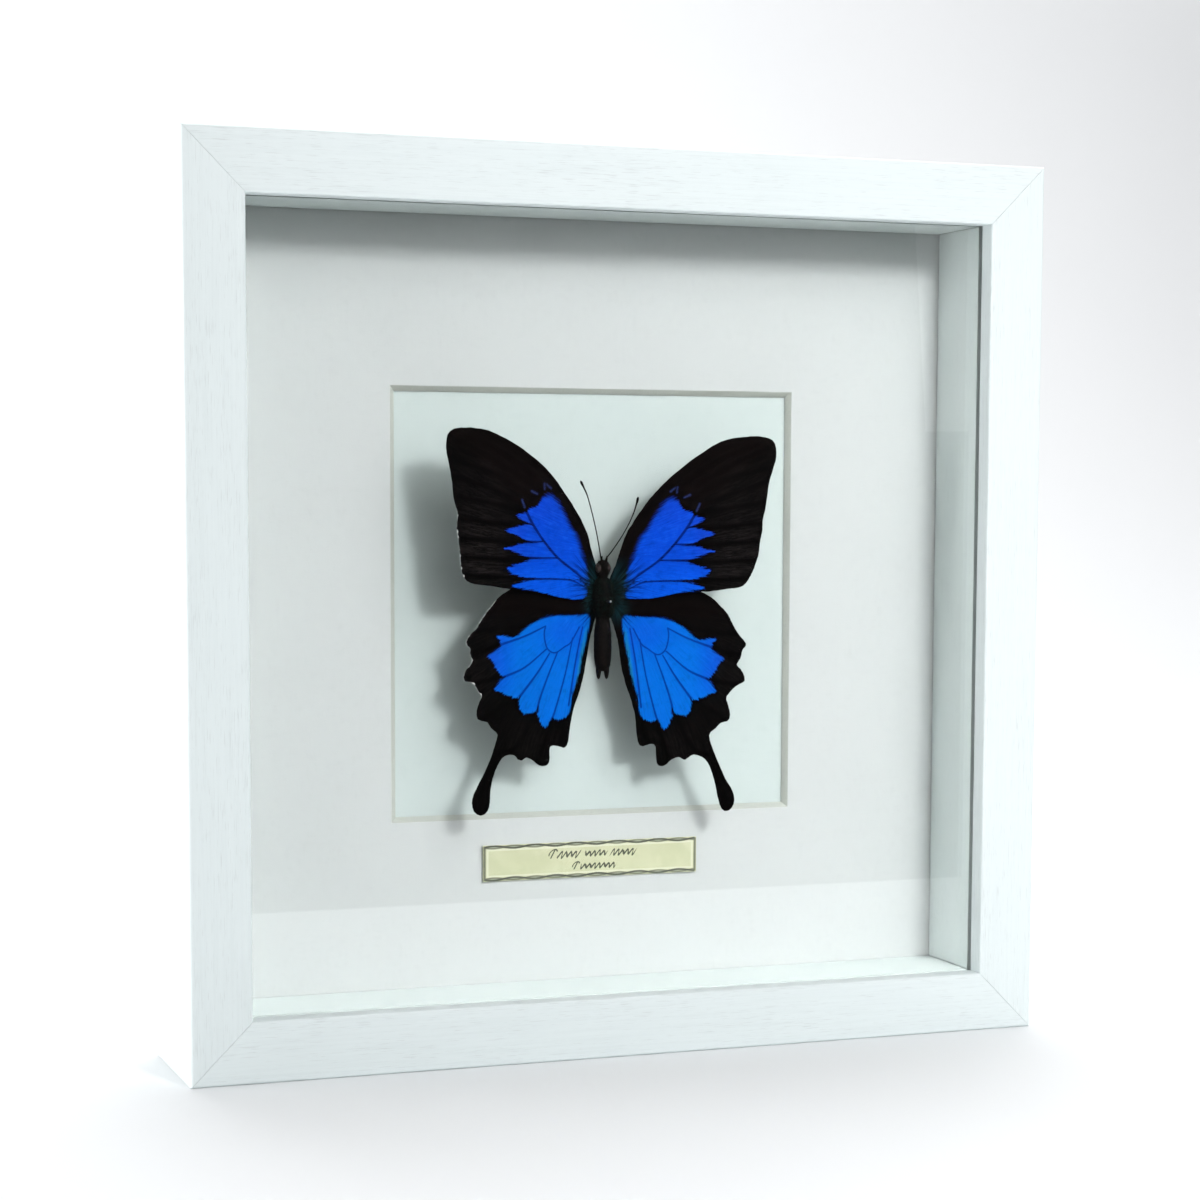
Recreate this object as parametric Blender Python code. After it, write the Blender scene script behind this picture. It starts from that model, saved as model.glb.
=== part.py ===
"""Box-framed butterfly: white wooden shadow frame, glass, liner, window mat, name card and pinned specimen."""
import math

import bpy
import numpy as np

MM = 0.001

# Overall frame
SIDE = 250.0
DEPTH = 45.0
FACE = 16.8
LIP = 6.1
WALL = 10.0
GAP = 0.3
MITRE_BACK_OFF = 0.15
OUTER_ROUND = 0.9
INNER_ROUND = 0.5
ROUND_STEPS = 4

# Layers behind the lip, as depths from the front face
GLASS_FRONT = LIP + GAP
GLASS_THICK = 2.0
LINER_FRONT = GLASS_FRONT + GLASS_THICK + GAP
LINER_BACK = 33.2
LINER_THICK = 6.2
MAT_FRONT = LINER_BACK + GAP
MAT_THICK = 1.5
BOARD_FRONT = MAT_FRONT + MAT_THICK + GAP
BOARD_THICK = 4.0
PANEL_FRONT = BOARD_FRONT + BOARD_THICK + GAP
PANEL_THICK = 2.4
TAB_FRONT = PANEL_FRONT + PANEL_THICK + GAP

# Window and name card
WINDOW_WIDE = 121.6
WINDOW_HIGH = 122.0
BEVEL = 1.5
CARD_WIDE = 65.4
CARD_HIGH = 10.3
CARD_THICK = 0.3
CARD_X = -1.5
CARD_Z = 51.4

# Retaining tabs
TAB_WIDE = 10.0
TAB_THICK = 0.5
TAB_IN_WOOD = 5.0
TAB_OVER_PANEL = 6.5
TAB_ALONG = 62.0

# Hanger in the back of the top rail
NOTCH_WIDE = 52.0
NOTCH_HIGH = 7.2
NOTCH_DEEP = 2.8
HANGER_WIDE = 46.0
HANGER_HIGH = 5.6
HANGER_THICK = 0.8
TOOTH_COUNT = 9
TOOTH_PITCH = 2.4
TOOTH_DEEP = 1.3
NAIL_X = 19.0
NAIL_SHANK = 0.6
NAIL_HEAD = 1.5
NAIL_HEAD_THICK = 0.7
NAIL_IN_WOOD = 7.0

# Specimen
BODY_X = -3.2
BODY_DEPTH = 19.0
WING_X = -2.3
WING_DEPTH = 20.0
WING_THICK = 0.35
FORE_RISE = 0.178
HIND_SET_BACK = 1.3
HIND_RISE = 0.0885
HIND_PITCH = 0.0524
HIND_LEVEL = 110.0
PIN_RADIUS = 0.3
PIN_HOLE = 0.6
PIN_Z = 126.4
PIN_TOP = 12.5
PIN_TIP = 38.4
PIN_BORE_END = 38.8

# Body rings: height, half width, half depth
BODY_RINGS = (
    (137.9, 0.35, 0.35), (137.55, 1.05, 1.0), (136.6, 1.7, 1.6), (135.4, 1.95, 1.85), (134.3, 1.75, 1.65),
    (133.5, 1.3, 1.25), (132.9, 1.35, 1.4), (132.1, 2.0, 2.1), (130.6, 2.55, 2.75), (128.5, 2.85, 3.05),
    (126.0, 2.9, 3.05), (123.6, 2.55, 2.7), (121.9, 2.0, 2.15), (121.0, 1.85, 1.95), (119.9, 2.1, 2.1),
    (117.5, 2.45, 2.4), (114.0, 2.6, 2.5), (110.6, 2.55, 2.4), (108.2, 2.3, 2.1), (106.9, 1.85, 1.7),
    (106.2, 1.1, 1.0),
)
BODY_SIDES = 20
CLASPER_RINGS = (
    (108.4, 0.55, 0.6), (107.0, 0.85, 0.95), (105.6, 0.8, 0.9), (104.7, 0.55, 0.6), (104.3, 0.2, 0.25),
)
CLASPER_OUT = 1.15

# Antennae: sideways from the body line, height, depth from the front face, radius
ANTENNA_LEFT = (
    (-0.75, 138.2, 18.6, 0.2), (-1.3, 141.0, 18.3, 0.18), (-2.55, 146.5, 17.9, 0.18), (-3.95, 151.5, 17.5, 0.18),
    (-5.3, 155.6, 17.2, 0.18), (-6.4, 157.9, 17.05, 0.24), (-7.0, 159.0, 17.0, 0.38), (-7.35, 159.7, 17.0, 0.22),
)
ANTENNA_RIGHT = (
    (0.85, 138.2, 18.6, 0.2), (2.6, 140.5, 18.3, 0.18), (4.9, 143.9, 17.9, 0.18), (6.9, 147.4, 17.5, 0.18),
    (8.35, 150.6, 17.2, 0.18), (9.2, 153.2, 17.05, 0.24), (9.55, 154.5, 17.0, 0.38), (9.7, 155.3, 17.0, 0.22),
)
ANTENNA_SIDES = 8

# Wing outlines: outward from the hinge line, height
FORE_LEFT = (
    (4.1, 141.6), (5.3, 144.9), (8.0, 150.0), (11.5, 155.0), (15.5, 160.1), (20.6, 165.0), (28.3, 170.0),
    (35.0, 173.0), (40.0, 174.0), (45.2, 174.0), (47.6, 173.2), (48.8, 171.6), (49.1, 168.2), (48.5, 165.0),
    (47.5, 160.2), (46.9, 155.2), (45.9, 151.6), (45.8, 150.4), (46.0, 146.7), (45.5, 143.6), (45.1, 140.2),
    (44.8, 136.7), (44.1, 133.9), (42.6, 132.3), (40.2, 131.5), (36.0, 131.0), (30.0, 130.1), (25.0, 129.6),
    (20.0, 128.8), (15.0, 127.6), (10.0, 126.8), (6.6, 127.2), (4.1, 128.7),
)
FORE_RIGHT = (
    (2.4, 134.4), (3.3, 137.0), (4.6, 141.0), (6.2, 145.2), (9.2, 150.1), (12.8, 155.0), (17.4, 160.0),
    (23.4, 165.0), (30.5, 169.9), (35.0, 171.7), (39.0, 172.4), (43.6, 172.6), (46.6, 172.0), (48.0, 170.8),
    (48.5, 168.6), (48.3, 165.8), (46.7, 160.3), (46.1, 156.6), (45.5, 152.2), (44.8, 149.0), (44.7, 146.0),
    (44.0, 142.2), (43.7, 139.4), (42.6, 135.8), (41.5, 133.3), (40.1, 131.1), (38.4, 130.0), (34.9, 129.5),
    (30.5, 128.9), (25.0, 128.6), (21.0, 128.4), (17.0, 127.5), (13.0, 126.9), (9.5, 126.8), (6.2, 127.3),
    (2.4, 129.3),
)
HIND_LEFT = (
    (4.2, 127.3), (8.0, 129.4), (15.0, 131.0), (22.0, 131.3), (27.0, 130.5), (31.4, 128.3), (33.6, 126.1),
    (35.8, 123.5), (37.6, 121.0), (38.5, 119.2), (40.4, 117.6), (41.6, 115.6), (41.0, 114.2), (40.3, 113.6),
    (40.4, 112.2), (39.8, 110.2), (40.5, 108.9), (41.6, 107.6), (42.2, 106.0), (41.6, 104.6), (40.2, 104.3),
    (38.8, 103.2), (37.8, 101.5), (36.9, 100.2), (37.5, 98.4), (38.1, 96.2), (37.9, 94.2), (36.6, 93.4),
    (35.0, 93.0), (33.8, 91.4), (32.4, 90.2), (31.8, 89.3), (32.4, 86.8), (33.5, 83.6), (35.3, 79.6),
    (37.1, 76.1), (38.7, 73.0), (39.3, 70.6), (38.8, 68.3), (37.6, 67.2), (36.4, 66.9), (35.0, 67.6),
    (34.1, 69.4), (33.8, 73.0), (33.2, 76.5), (32.1, 79.7), (30.8, 82.1), (29.8, 83.1), (28.2, 83.6),
    (26.5, 83.3), (25.5, 82.2), (24.2, 81.9), (23.0, 82.6), (21.2, 81.9), (19.6, 80.6), (18.0, 80.0),
    (16.4, 80.4), (15.8, 82.0), (15.9, 84.7), (15.1, 85.7), (13.0, 85.4), (11.3, 85.0), (10.3, 86.3),
    (9.8, 89.6), (9.1, 94.3), (8.0, 97.9), (6.6, 101.5), (5.5, 106.0), (4.6, 111.0), (3.7, 117.0),
    (3.8, 122.6),
)
HIND_RIGHT = (
    (2.5, 126.8), (8.0, 128.6), (15.0, 130.0), (22.0, 130.3), (27.0, 129.3), (31.4, 127.1), (34.4, 124.5),
    (36.6, 122.2), (38.0, 119.7), (40.0, 116.5), (41.6, 114.7), (42.3, 113.3), (41.2, 111.8), (40.8, 109.7),
    (39.8, 107.7), (41.0, 106.3), (42.0, 104.6), (42.1, 102.9), (40.5, 102.0), (39.1, 101.1), (37.5, 99.3),
    (36.9, 98.0), (37.5, 96.1), (38.1, 93.5), (37.5, 91.6), (35.3, 90.9), (33.9, 89.4), (32.4, 88.2),
    (32.2, 86.5), (33.5, 82.8), (35.7, 77.9), (37.5, 74.3), (39.4, 71.1), (39.9, 68.4), (39.1, 66.2),
    (37.5, 65.3), (36.0, 66.3), (34.9, 69.3), (34.1, 73.4), (32.8, 77.5), (31.4, 80.0), (29.8, 81.3),
    (27.5, 81.9), (26.2, 81.3), (24.8, 80.5), (23.0, 81.3), (20.7, 80.5), (19.6, 79.4), (18.0, 78.8),
    (16.7, 79.6), (16.3, 82.0), (16.1, 84.5), (15.0, 85.3), (13.5, 85.0), (12.1, 84.7), (11.0, 85.7),
    (10.4, 88.8), (9.9, 93.3), (8.5, 98.4), (6.9, 102.9), (5.5, 108.4), (4.4, 115.2), (2.8, 120.6),
    (2.4, 123.2),
)
OUTLINE_STEPS = 2

FINISHES = {
    "white_paint": ((0.83, 0.85, 0.85), 0.4, 0.0),
    "clear_glass": ((0.95, 0.98, 0.97), 0.03, 0.0),
    "liner_white": ((0.76, 0.79, 0.78), 0.55, 0.0),
    "mat_card": ((0.83, 0.86, 0.86), 0.85, 0.0),
    "board_paper": ((0.80, 0.86, 0.85), 0.85, 0.0),
    "card_cream": ((0.78, 0.77, 0.55), 0.75, 0.0),
    "hardboard": ((0.30, 0.19, 0.11), 0.8, 0.0),
    "tab_steel": ((0.60, 0.61, 0.62), 0.35, 1.0),
    "hanger_steel": ((0.66, 0.62, 0.50), 0.35, 1.0),
    "body_scales": ((0.02, 0.02, 0.02), 0.8, 0.0),
    "wing_black_blue": ((0.02, 0.07, 0.45), 0.55, 0.0),
    "pin_steel": ((0.55, 0.56, 0.58), 0.25, 1.0),
}


def depth_to_y(depth):
    """Row Y in millimetres of a depth measured from the frame's front face."""
    return depth - DEPTH / 2


def make_object(name, verts, faces):
    """A mesh object from millimetre vertices, with its faces turned outward."""
    mesh = bpy.data.meshes.new(name)
    mesh.from_pydata([tuple(c * MM for c in v) for v in verts], [], faces)
    mesh.validate()
    obj = bpy.data.objects.new(name, mesh)
    bpy.context.scene.collection.objects.link(obj)
    face_outward(obj)
    return obj


def face_outward(obj):
    """Turns the faces of a closed mesh so that its signed volume is positive."""
    mesh = obj.data
    volume = 0.0
    for poly in mesh.polygons:
        corners = [mesh.vertices[i].co for i in poly.vertices]
        for a, b in zip(corners[1:], corners[2:]):
            volume += corners[0].dot(a.cross(b))
    if volume < 0:
        mesh.flip_normals()


def paint(obj, finish):
    """Gives an object its own material of the named finish."""
    colour, roughness, metallic = FINISHES[finish]
    mat = bpy.data.materials.new(obj.name + "_" + finish)
    mat.use_nodes = True
    shader = mat.node_tree.nodes["Principled BSDF"]
    shader.inputs["Base Color"].default_value = (*colour, 1.0)
    shader.inputs["Roughness"].default_value = roughness
    shader.inputs["Metallic"].default_value = metallic
    obj.data.materials.append(mat)
    return obj


def stacked_rings(name, rings):
    """A closed solid from rings of equal length, each a list of points, with flat end caps."""
    count = len(rings[0])
    verts = [point for ring in rings for point in ring]
    faces = []
    for row in range(len(rings) - 1):
        for i in range(count):
            j = (i + 1) % count
            faces.append((row * count + i, row * count + j, (row + 1) * count + j, (row + 1) * count + i))
    faces.append(tuple(reversed(range(count))))
    faces.append(tuple((len(rings) - 1) * count + i for i in range(count)))
    return make_object(name, verts, faces)


def box(name, low, high):
    """A rectangular block between two corners in millimetres."""
    ring = [(low[0], low[1]), (high[0], low[1]), (high[0], high[1]), (low[0], high[1])]
    return stacked_rings(name, [[(x, y, z) for x, y in ring] for z in (low[2], high[2])])


def cylinder_y(name, x, z, radius, depth_from, depth_to, sides=20):
    """A round bar along Y between two depths."""
    angles = [2 * math.pi * i / sides for i in range(sides)]
    rings = [
        [(x + radius * math.cos(a), depth_to_y(d), z + radius * math.sin(a)) for a in angles]
        for d in (depth_from, depth_to)
    ]
    return stacked_rings(name, rings)


def cut(target, cutters):
    """Cuts each cutter from the target and removes the cutters from sight."""
    for cutter in cutters:
        cutter.hide_render = True
        cutter.display_type = "WIRE"
        modifier = target.modifiers.new("cut_" + cutter.name, "BOOLEAN")
        modifier.operation = "DIFFERENCE"
        modifier.solver = "EXACT"
        modifier.object = cutter
    return target


def join(target, pieces):
    """Joins overlapping pieces to the target as one body."""
    for piece in pieces:
        piece.hide_render = True
        piece.display_type = "WIRE"
        modifier = target.modifiers.new("join_" + piece.name, "BOOLEAN")
        modifier.operation = "UNION"
        modifier.solver = "EXACT"
        modifier.object = piece
    return target


def rounded_corner(inset, depth, radius, start, turn):
    """Points of a quarter round about (inset, depth), from a start angle, in (inset, depth) coordinates."""
    angles = [start + turn * k / ROUND_STEPS for k in range(ROUND_STEPS + 1)]
    return [(inset + radius * math.cos(a), depth + radius * math.sin(a)) for a in angles]


def rail_profile():
    """Rail section as (inset from the outer edge, depth): front lip, rabbet wall and rounded front edges."""
    outer = rounded_corner(OUTER_ROUND, OUTER_ROUND, OUTER_ROUND, math.pi, math.pi / 2)
    inner = rounded_corner(FACE - INNER_ROUND, INNER_ROUND, INNER_ROUND, -math.pi / 2, math.pi / 2)
    return [(0.0, DEPTH)] + outer + inner + [(FACE, LIP), (WALL, LIP), (WALL, DEPTH)]


def liner_profile():
    """Liner section as (inset from the frame's outer edge, depth)."""
    outside = FACE - LINER_THICK
    return [(outside, LINER_BACK), (outside, LINER_FRONT), (FACE, LINER_FRONT), (FACE, LINER_BACK)]


def mitred_strip(name, profile, side):
    """One strip of a square frame: side 0 is the bottom, then right, top and left, with mitred ends."""
    angle = side * math.pi / 2
    back_off = MITRE_BACK_OFF * math.sqrt(2)
    rings = []
    for end in (-1, 1):
        ring = []
        for inset, depth in profile:
            along = end * (SIDE / 2 - inset - back_off)
            across = inset - SIDE / 2
            x = along * math.cos(angle) - across * math.sin(angle)
            z = along * math.sin(angle) + across * math.cos(angle)
            ring.append((x, depth_to_y(depth), z + SIDE / 2))
        rings.append(ring)
    return stacked_rings(name, rings)


def side_box(name, side, along, inset, depth):
    """A block placed on a side of the frame by its ranges along the side, inset from the edge, and depth."""
    angle = side * math.pi / 2
    corners = []
    for a in along:
        for i in inset:
            across = i - SIDE / 2
            x = a * math.cos(angle) - across * math.sin(angle)
            z = a * math.sin(angle) + across * math.cos(angle)
            corners.append((x, z + SIDE / 2))
    xs = [c[0] for c in corners]
    zs = [c[1] for c in corners]
    low = (min(xs), depth_to_y(depth[0]), min(zs))
    high = (max(xs), depth_to_y(depth[1]), max(zs))
    return box(name, low, high)


def build_rails():
    """Four mitred rails, slotted for the retaining tabs and notched at the top for the hanger."""
    rails = {}
    for side, place in enumerate(("bottom", "right", "top", "left")):
        rail = mitred_strip("frame_rail_" + place, rail_profile(), side)
        slots = []
        for end in (-1, 1):
            middle = end * TAB_ALONG
            slots.append(side_box(
                f"slot_cutter_{place}_{end + 2}", side,
                (middle - TAB_WIDE / 2 - GAP, middle + TAB_WIDE / 2 + GAP),
                (WALL - TAB_IN_WOOD - GAP, WALL + 1.0),
                (TAB_FRONT - GAP, TAB_FRONT + TAB_THICK + GAP)))
        cut(rail, slots)
        rails[place] = paint(rail, "white_paint")
    notch = side_box(
        "notch_cutter", 2, (-NOTCH_WIDE / 2, NOTCH_WIDE / 2), (WALL - NOTCH_HIGH, WALL + 1.0),
        (DEPTH - NOTCH_DEEP, DEPTH + 1.0))
    floor = DEPTH - NOTCH_DEEP
    z = hanger_middle()
    bores = [
        cylinder_y(f"nail_bore_cutter_{i}", x, z, NAIL_SHANK + GAP, floor - NAIL_IN_WOOD - GAP, floor + 1.0)
        for i, x in enumerate((-NAIL_X, NAIL_X))
    ]
    cut(rails["top"], [notch] + bores)


def build_tabs():
    """Flat steel tabs, two on each side, pushed into the rails behind the backing panel."""
    for side, place in enumerate(("bottom", "right", "top", "left")):
        for number, end in enumerate((-1, 1), 1):
            middle = end * TAB_ALONG
            tab = side_box(
                f"retaining_tab_{place}_{number}", side,
                (middle - TAB_WIDE / 2, middle + TAB_WIDE / 2),
                (WALL - TAB_IN_WOOD, WALL + TAB_OVER_PANEL),
                (TAB_FRONT, TAB_FRONT + TAB_THICK))
            paint(tab, "tab_steel")


def hanger_middle():
    """Height of the hanger's nails."""
    return SIDE - WALL + NOTCH_HIGH / 2 + 0.4


def build_hanger():
    """Sawtooth plate in the top rail's notch, held by two nails."""
    front = DEPTH - NOTCH_DEEP + GAP
    middle = hanger_middle()
    top = middle + HANGER_HIGH / 2
    low = middle - HANGER_HIGH / 2
    teeth = []
    start = -TOOTH_COUNT * TOOTH_PITCH / 2
    for i in range(TOOTH_COUNT):
        x = start + i * TOOTH_PITCH
        teeth += [(x, low), (x + TOOTH_PITCH / 2, low + TOOTH_DEEP)]
    teeth.append((-start, low))
    half = HANGER_WIDE / 2
    outline = [(-half, top - 1.2), (-half, low + 1.2), (-half + 1.2, low)] + teeth
    outline += [(half - 1.2, low), (half, low + 1.2), (half, top - 1.2), (half - 1.2, top), (-half + 1.2, top)]
    plate = stacked_rings("hanger_plate", [
        [(x, depth_to_y(d), z) for x, z in outline] for d in (front, front + HANGER_THICK)
    ])
    holes = [
        cylinder_y(f"hanger_hole_cutter_{i}", x, middle, NAIL_SHANK + GAP, front - 1.0, front + HANGER_THICK + 1.0)
        for i, x in enumerate((-NAIL_X, NAIL_X))
    ]
    paint(cut(plate, holes), "hanger_steel")
    head = front + HANGER_THICK + GAP
    for place, x in (("left", NAIL_X), ("right", -NAIL_X)):
        nail = cylinder_y("hanger_nail_" + place, x, middle, NAIL_SHANK, front - GAP - NAIL_IN_WOOD, head + 0.2)
        cap = cylinder_y("nail_head_" + place, x, middle, NAIL_HEAD, head, head + NAIL_HEAD_THICK)
        paint(join(nail, [cap]), "hanger_steel")


def build_enclosure():
    """Glass, liner strips, window mat, mount board and backing panel."""
    half = SIDE / 2 - WALL - GAP
    low = SIDE / 2 - half
    high = SIDE / 2 + half
    sheets = (
        ("glass_pane", GLASS_FRONT, GLASS_THICK, "clear_glass"),
        ("mount_board", BOARD_FRONT, BOARD_THICK, "board_paper"),
        ("backing_panel", PANEL_FRONT, PANEL_THICK, "hardboard"),
    )
    made = {}
    for name, front, thick, finish in sheets:
        sheet = box(name, (-half, depth_to_y(front), low), (half, depth_to_y(front + thick), high))
        made[name] = paint(sheet, finish)
    bore = cylinder_y("pin_bore_cutter", BODY_X, PIN_Z, PIN_HOLE, BOARD_FRONT - 1.0, PIN_BORE_END)
    cut(made["mount_board"], [bore])
    for side, place in enumerate(("bottom", "right", "top", "left")):
        paint(mitred_strip("liner_" + place, liner_profile(), side), "liner_white")
    build_mat(half)


def build_mat(half):
    """Window mat: a square card with an opening whose edge is bevelled towards the front."""
    middle = SIDE / 2
    wide = WINDOW_WIDE / 2
    high = WINDOW_HIGH / 2

    def loop(x, z, depth):
        y = depth_to_y(depth)
        return [(-x, y, middle - z), (x, y, middle - z), (x, y, middle + z), (-x, y, middle + z)]

    back = MAT_FRONT + MAT_THICK
    loops = [
        loop(half, half, MAT_FRONT), loop(wide, high, MAT_FRONT),
        loop(wide - BEVEL, high - BEVEL, back), loop(half, half, back),
    ]
    verts = [v for ring in loops for v in ring]
    faces = []
    for row in range(4):
        following = (row + 1) % 4
        for i in range(4):
            j = (i + 1) % 4
            faces.append((row * 4 + i, row * 4 + j, following * 4 + j, following * 4 + i))
    paint(make_object("window_mat", verts, faces), "mat_card")


def build_card():
    """Name card on the mat below the window."""
    back = MAT_FRONT - GAP
    low = (CARD_X - CARD_WIDE / 2, depth_to_y(back - CARD_THICK), CARD_Z - CARD_HIGH / 2)
    high = (CARD_X + CARD_WIDE / 2, depth_to_y(back), CARD_Z + CARD_HIGH / 2)
    paint(box("name_label", low, high), "card_cream")


def elliptic_rings(rings, x, depth, sides):
    """Horizontal ellipses along the body, each from (height, half width, half depth)."""
    angles = [2 * math.pi * i / sides for i in range(sides)]
    y = depth_to_y(depth)
    return [[(x + wide * math.cos(a), y + deep * math.sin(a), z) for a in angles] for z, wide, deep in rings]


def build_body():
    """Head, thorax and abdomen as one body with two claspers at its tip, bored for the pin."""
    body = stacked_rings("butterfly_body", elliptic_rings(BODY_RINGS, BODY_X, BODY_DEPTH, BODY_SIDES))
    claspers = [
        stacked_rings(f"clasper_{i}", elliptic_rings(CLASPER_RINGS, BODY_X + out, BODY_DEPTH, 12))
        for i, out in enumerate((-CLASPER_OUT, CLASPER_OUT))
    ]
    join(body, claspers)
    bore = cylinder_y("body_bore_cutter", BODY_X, PIN_Z, PIN_HOLE, BODY_DEPTH - 6.0, BODY_DEPTH + 6.0)
    paint(cut(body, [bore]), "body_scales")


def build_antennae():
    """Two clubbed antennae, swept along their own curved lines."""
    for name, path in (("antenna_left", ANTENNA_LEFT), ("antenna_right", ANTENNA_RIGHT)):
        rings = []
        for out, z, depth, radius in path:
            rings.append([
                (BODY_X + out + radius * math.cos(2 * math.pi * i / ANTENNA_SIDES),
                 depth_to_y(depth) + radius * math.sin(2 * math.pi * i / ANTENNA_SIDES), z)
                for i in range(ANTENNA_SIDES)
            ])
        paint(stacked_rings(name, rings), "body_scales")


def build_pin():
    """Straight steel pin through the thorax into the mount board."""
    paint(cylinder_y("insect_pin", BODY_X, PIN_Z, PIN_RADIUS, PIN_TOP, PIN_TIP, 12), "pin_steel")


def smooth_outline(points, steps):
    """A closed Catmull-Rom curve through the points, with extra points between each pair."""
    p = np.array(points)
    before = np.roll(p, 1, axis=0)
    after = np.roll(p, -1, axis=0)
    beyond = np.roll(p, -2, axis=0)
    rows = []
    for k in range(steps):
        t = k / steps
        rows.append(0.5 * (
            2 * p + (after - before) * t + (2 * before - 5 * p + 4 * after - beyond) * t**2
            + (3 * p - before - 3 * after + beyond) * t**3))
    return np.stack(rows, axis=1).reshape(-1, 2)


def fore_depth(out, z):
    """Depth of the forewing's upper face: it rises towards the glass away from the body."""
    return WING_DEPTH - FORE_RISE * out


def hind_depth(out, z):
    """Depth of the hindwing's upper face: set back under the forewing and tilted along its length."""
    return WING_DEPTH + HIND_SET_BACK - HIND_RISE * out - HIND_PITCH * (z - HIND_LEVEL)


def build_wing(name, outline, hand, depth_of):
    """One wing as a thin flat sheet, tilted by its depth rule; hand is -1 for left and 1 for right."""
    flat = smooth_outline(outline, OUTLINE_STEPS)
    rings = []
    for back in (0.0, WING_THICK):
        rings.append([
            (WING_X + hand * out, depth_to_y(depth_of(out, z) + back), z) for out, z in flat
        ])
    paint(stacked_rings(name, rings), "wing_black_blue")


def main():
    """Builds the frame from the outside in, then the specimen."""
    for obj in list(bpy.data.objects):
        bpy.data.objects.remove(obj, do_unlink=True)
    build_rails()
    build_tabs()
    build_hanger()
    build_enclosure()
    build_card()
    build_body()
    build_antennae()
    build_pin()
    build_wing("forewing_left", FORE_LEFT, -1, fore_depth)
    build_wing("forewing_right", FORE_RIGHT, 1, fore_depth)
    build_wing("hindwing_left", HIND_LEFT, -1, hind_depth)
    build_wing("hindwing_right", HIND_RIGHT, 1, hind_depth)


main()
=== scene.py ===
"""A blue swallowtail butterfly pinned in a white box frame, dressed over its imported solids."""
import logging
import math
from collections.abc import Sequence
from dataclasses import dataclass, field
from enum import Enum
from functools import reduce

import bmesh
import bpy
import numpy as np
from mathutils import Matrix


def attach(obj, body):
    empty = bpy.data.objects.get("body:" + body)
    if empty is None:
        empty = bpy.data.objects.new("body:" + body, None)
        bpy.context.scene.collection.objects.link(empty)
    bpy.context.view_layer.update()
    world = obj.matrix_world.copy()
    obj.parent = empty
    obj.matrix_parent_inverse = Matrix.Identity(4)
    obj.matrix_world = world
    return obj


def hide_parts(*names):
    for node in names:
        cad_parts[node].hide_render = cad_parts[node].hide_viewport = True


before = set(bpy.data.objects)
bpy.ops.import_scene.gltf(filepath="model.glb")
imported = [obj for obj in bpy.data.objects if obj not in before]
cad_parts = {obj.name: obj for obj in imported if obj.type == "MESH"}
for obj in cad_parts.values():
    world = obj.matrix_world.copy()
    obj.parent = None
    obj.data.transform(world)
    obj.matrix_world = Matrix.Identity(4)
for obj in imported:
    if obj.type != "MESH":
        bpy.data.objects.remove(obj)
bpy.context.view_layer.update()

LOG = logging.getLogger("framed_butterfly")

MM = 0.001
FRONT_Y = -22.5
SIDE = 250.0
DEPTH = 45.0
MIDDLE = SIDE / 2

Array = np.ndarray
Pair = tuple[float, float]
Points = Sequence[Pair]
Colour = tuple[float, float, float]
Triple = tuple[float, float, float]
Quadruple = tuple[float, float, float, float]
Stops = tuple[tuple[float, Colour], ...]
Socket = bpy.types.NodeSocket
Material = bpy.types.Material
Object = bpy.types.Object

WELD_REACH = 0.000001
FAR = 99.0
TINY = 1e-9


class Place(Enum):
    """The four sides of the frame, by how many quarter turns they stand from the bottom one."""

    BOTTOM = 0
    RIGHT = 1
    TOP = 2
    LEFT = 3

    @property
    def word(self) -> str:
        """The side's name as the nodes spell it."""
        return self.name.lower()


class Hand(Enum):
    """Which side of the body a wing or antenna is on, as the sign of its X."""

    LEFT = -1
    RIGHT = 1

    @property
    def word(self) -> str:
        """The side's name as the nodes spell it."""
        return self.name.lower()


# ---- shader expressions


class Value:
    """A number socket that takes part in Python expressions by adding Math nodes."""

    def __init__(self, graph: "Graph", socket: Socket) -> None:
        """Wraps an output socket of the graph."""
        self.graph = graph
        self.socket = socket

    def _math(self, operation: str, *others: "Value | float") -> "Value":
        """Adds one Math node with this value first.

        Args:
            operation: what the node does.
            others: what it takes after this value.

        Returns:
            The node's result.
        """
        values = dict(enumerate((self, *others)))
        node = self.graph.node("ShaderNodeMath", {"operation": operation}, values)
        return Value(self.graph, node.outputs[0])

    def __add__(self, other: "Value | float") -> "Value":
        """Sum."""
        return self._math("ADD", other)

    __radd__ = __add__

    def __sub__(self, other: "Value | float") -> "Value":
        """Difference."""
        return self._math("SUBTRACT", other)

    def __rsub__(self, other: float) -> "Value":
        """Difference from a number."""
        return self._math("MULTIPLY", -1.0)._math("ADD", other)

    def __mul__(self, other: "Value | float") -> "Value":
        """Product."""
        return self._math("MULTIPLY", other)

    __rmul__ = __mul__

    def __truediv__(self, other: "Value | float") -> "Value":
        """Quotient."""
        return self._math("DIVIDE", other)

    def __pow__(self, other: float) -> "Value":
        """Power."""
        return self._math("POWER", other)

    def least(self, other: "Value | float") -> "Value":
        """The smaller of two values."""
        return self._math("MINIMUM", other)

    def most(self, other: "Value | float") -> "Value":
        """The larger of two values."""
        return self._math("MAXIMUM", other)

    def size(self) -> "Value":
        """Absolute value."""
        return self._math("ABSOLUTE")

    def sine(self) -> "Value":
        """Sine, in radians."""
        return self._math("SINE")

    def step(self, low: float, high: float) -> "Value":
        """A smooth step from 0 at low to 1 at high.

        Args:
            low: where it is still 0.
            high: where it has reached 1.

        Returns:
            The step.
        """
        node = self.graph.node(
            "ShaderNodeMapRange", {"interpolation_type": "SMOOTHSTEP"},
            {"Value": self, "From Min": low, "From Max": high})
        return Value(self.graph, node.outputs[0])


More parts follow.
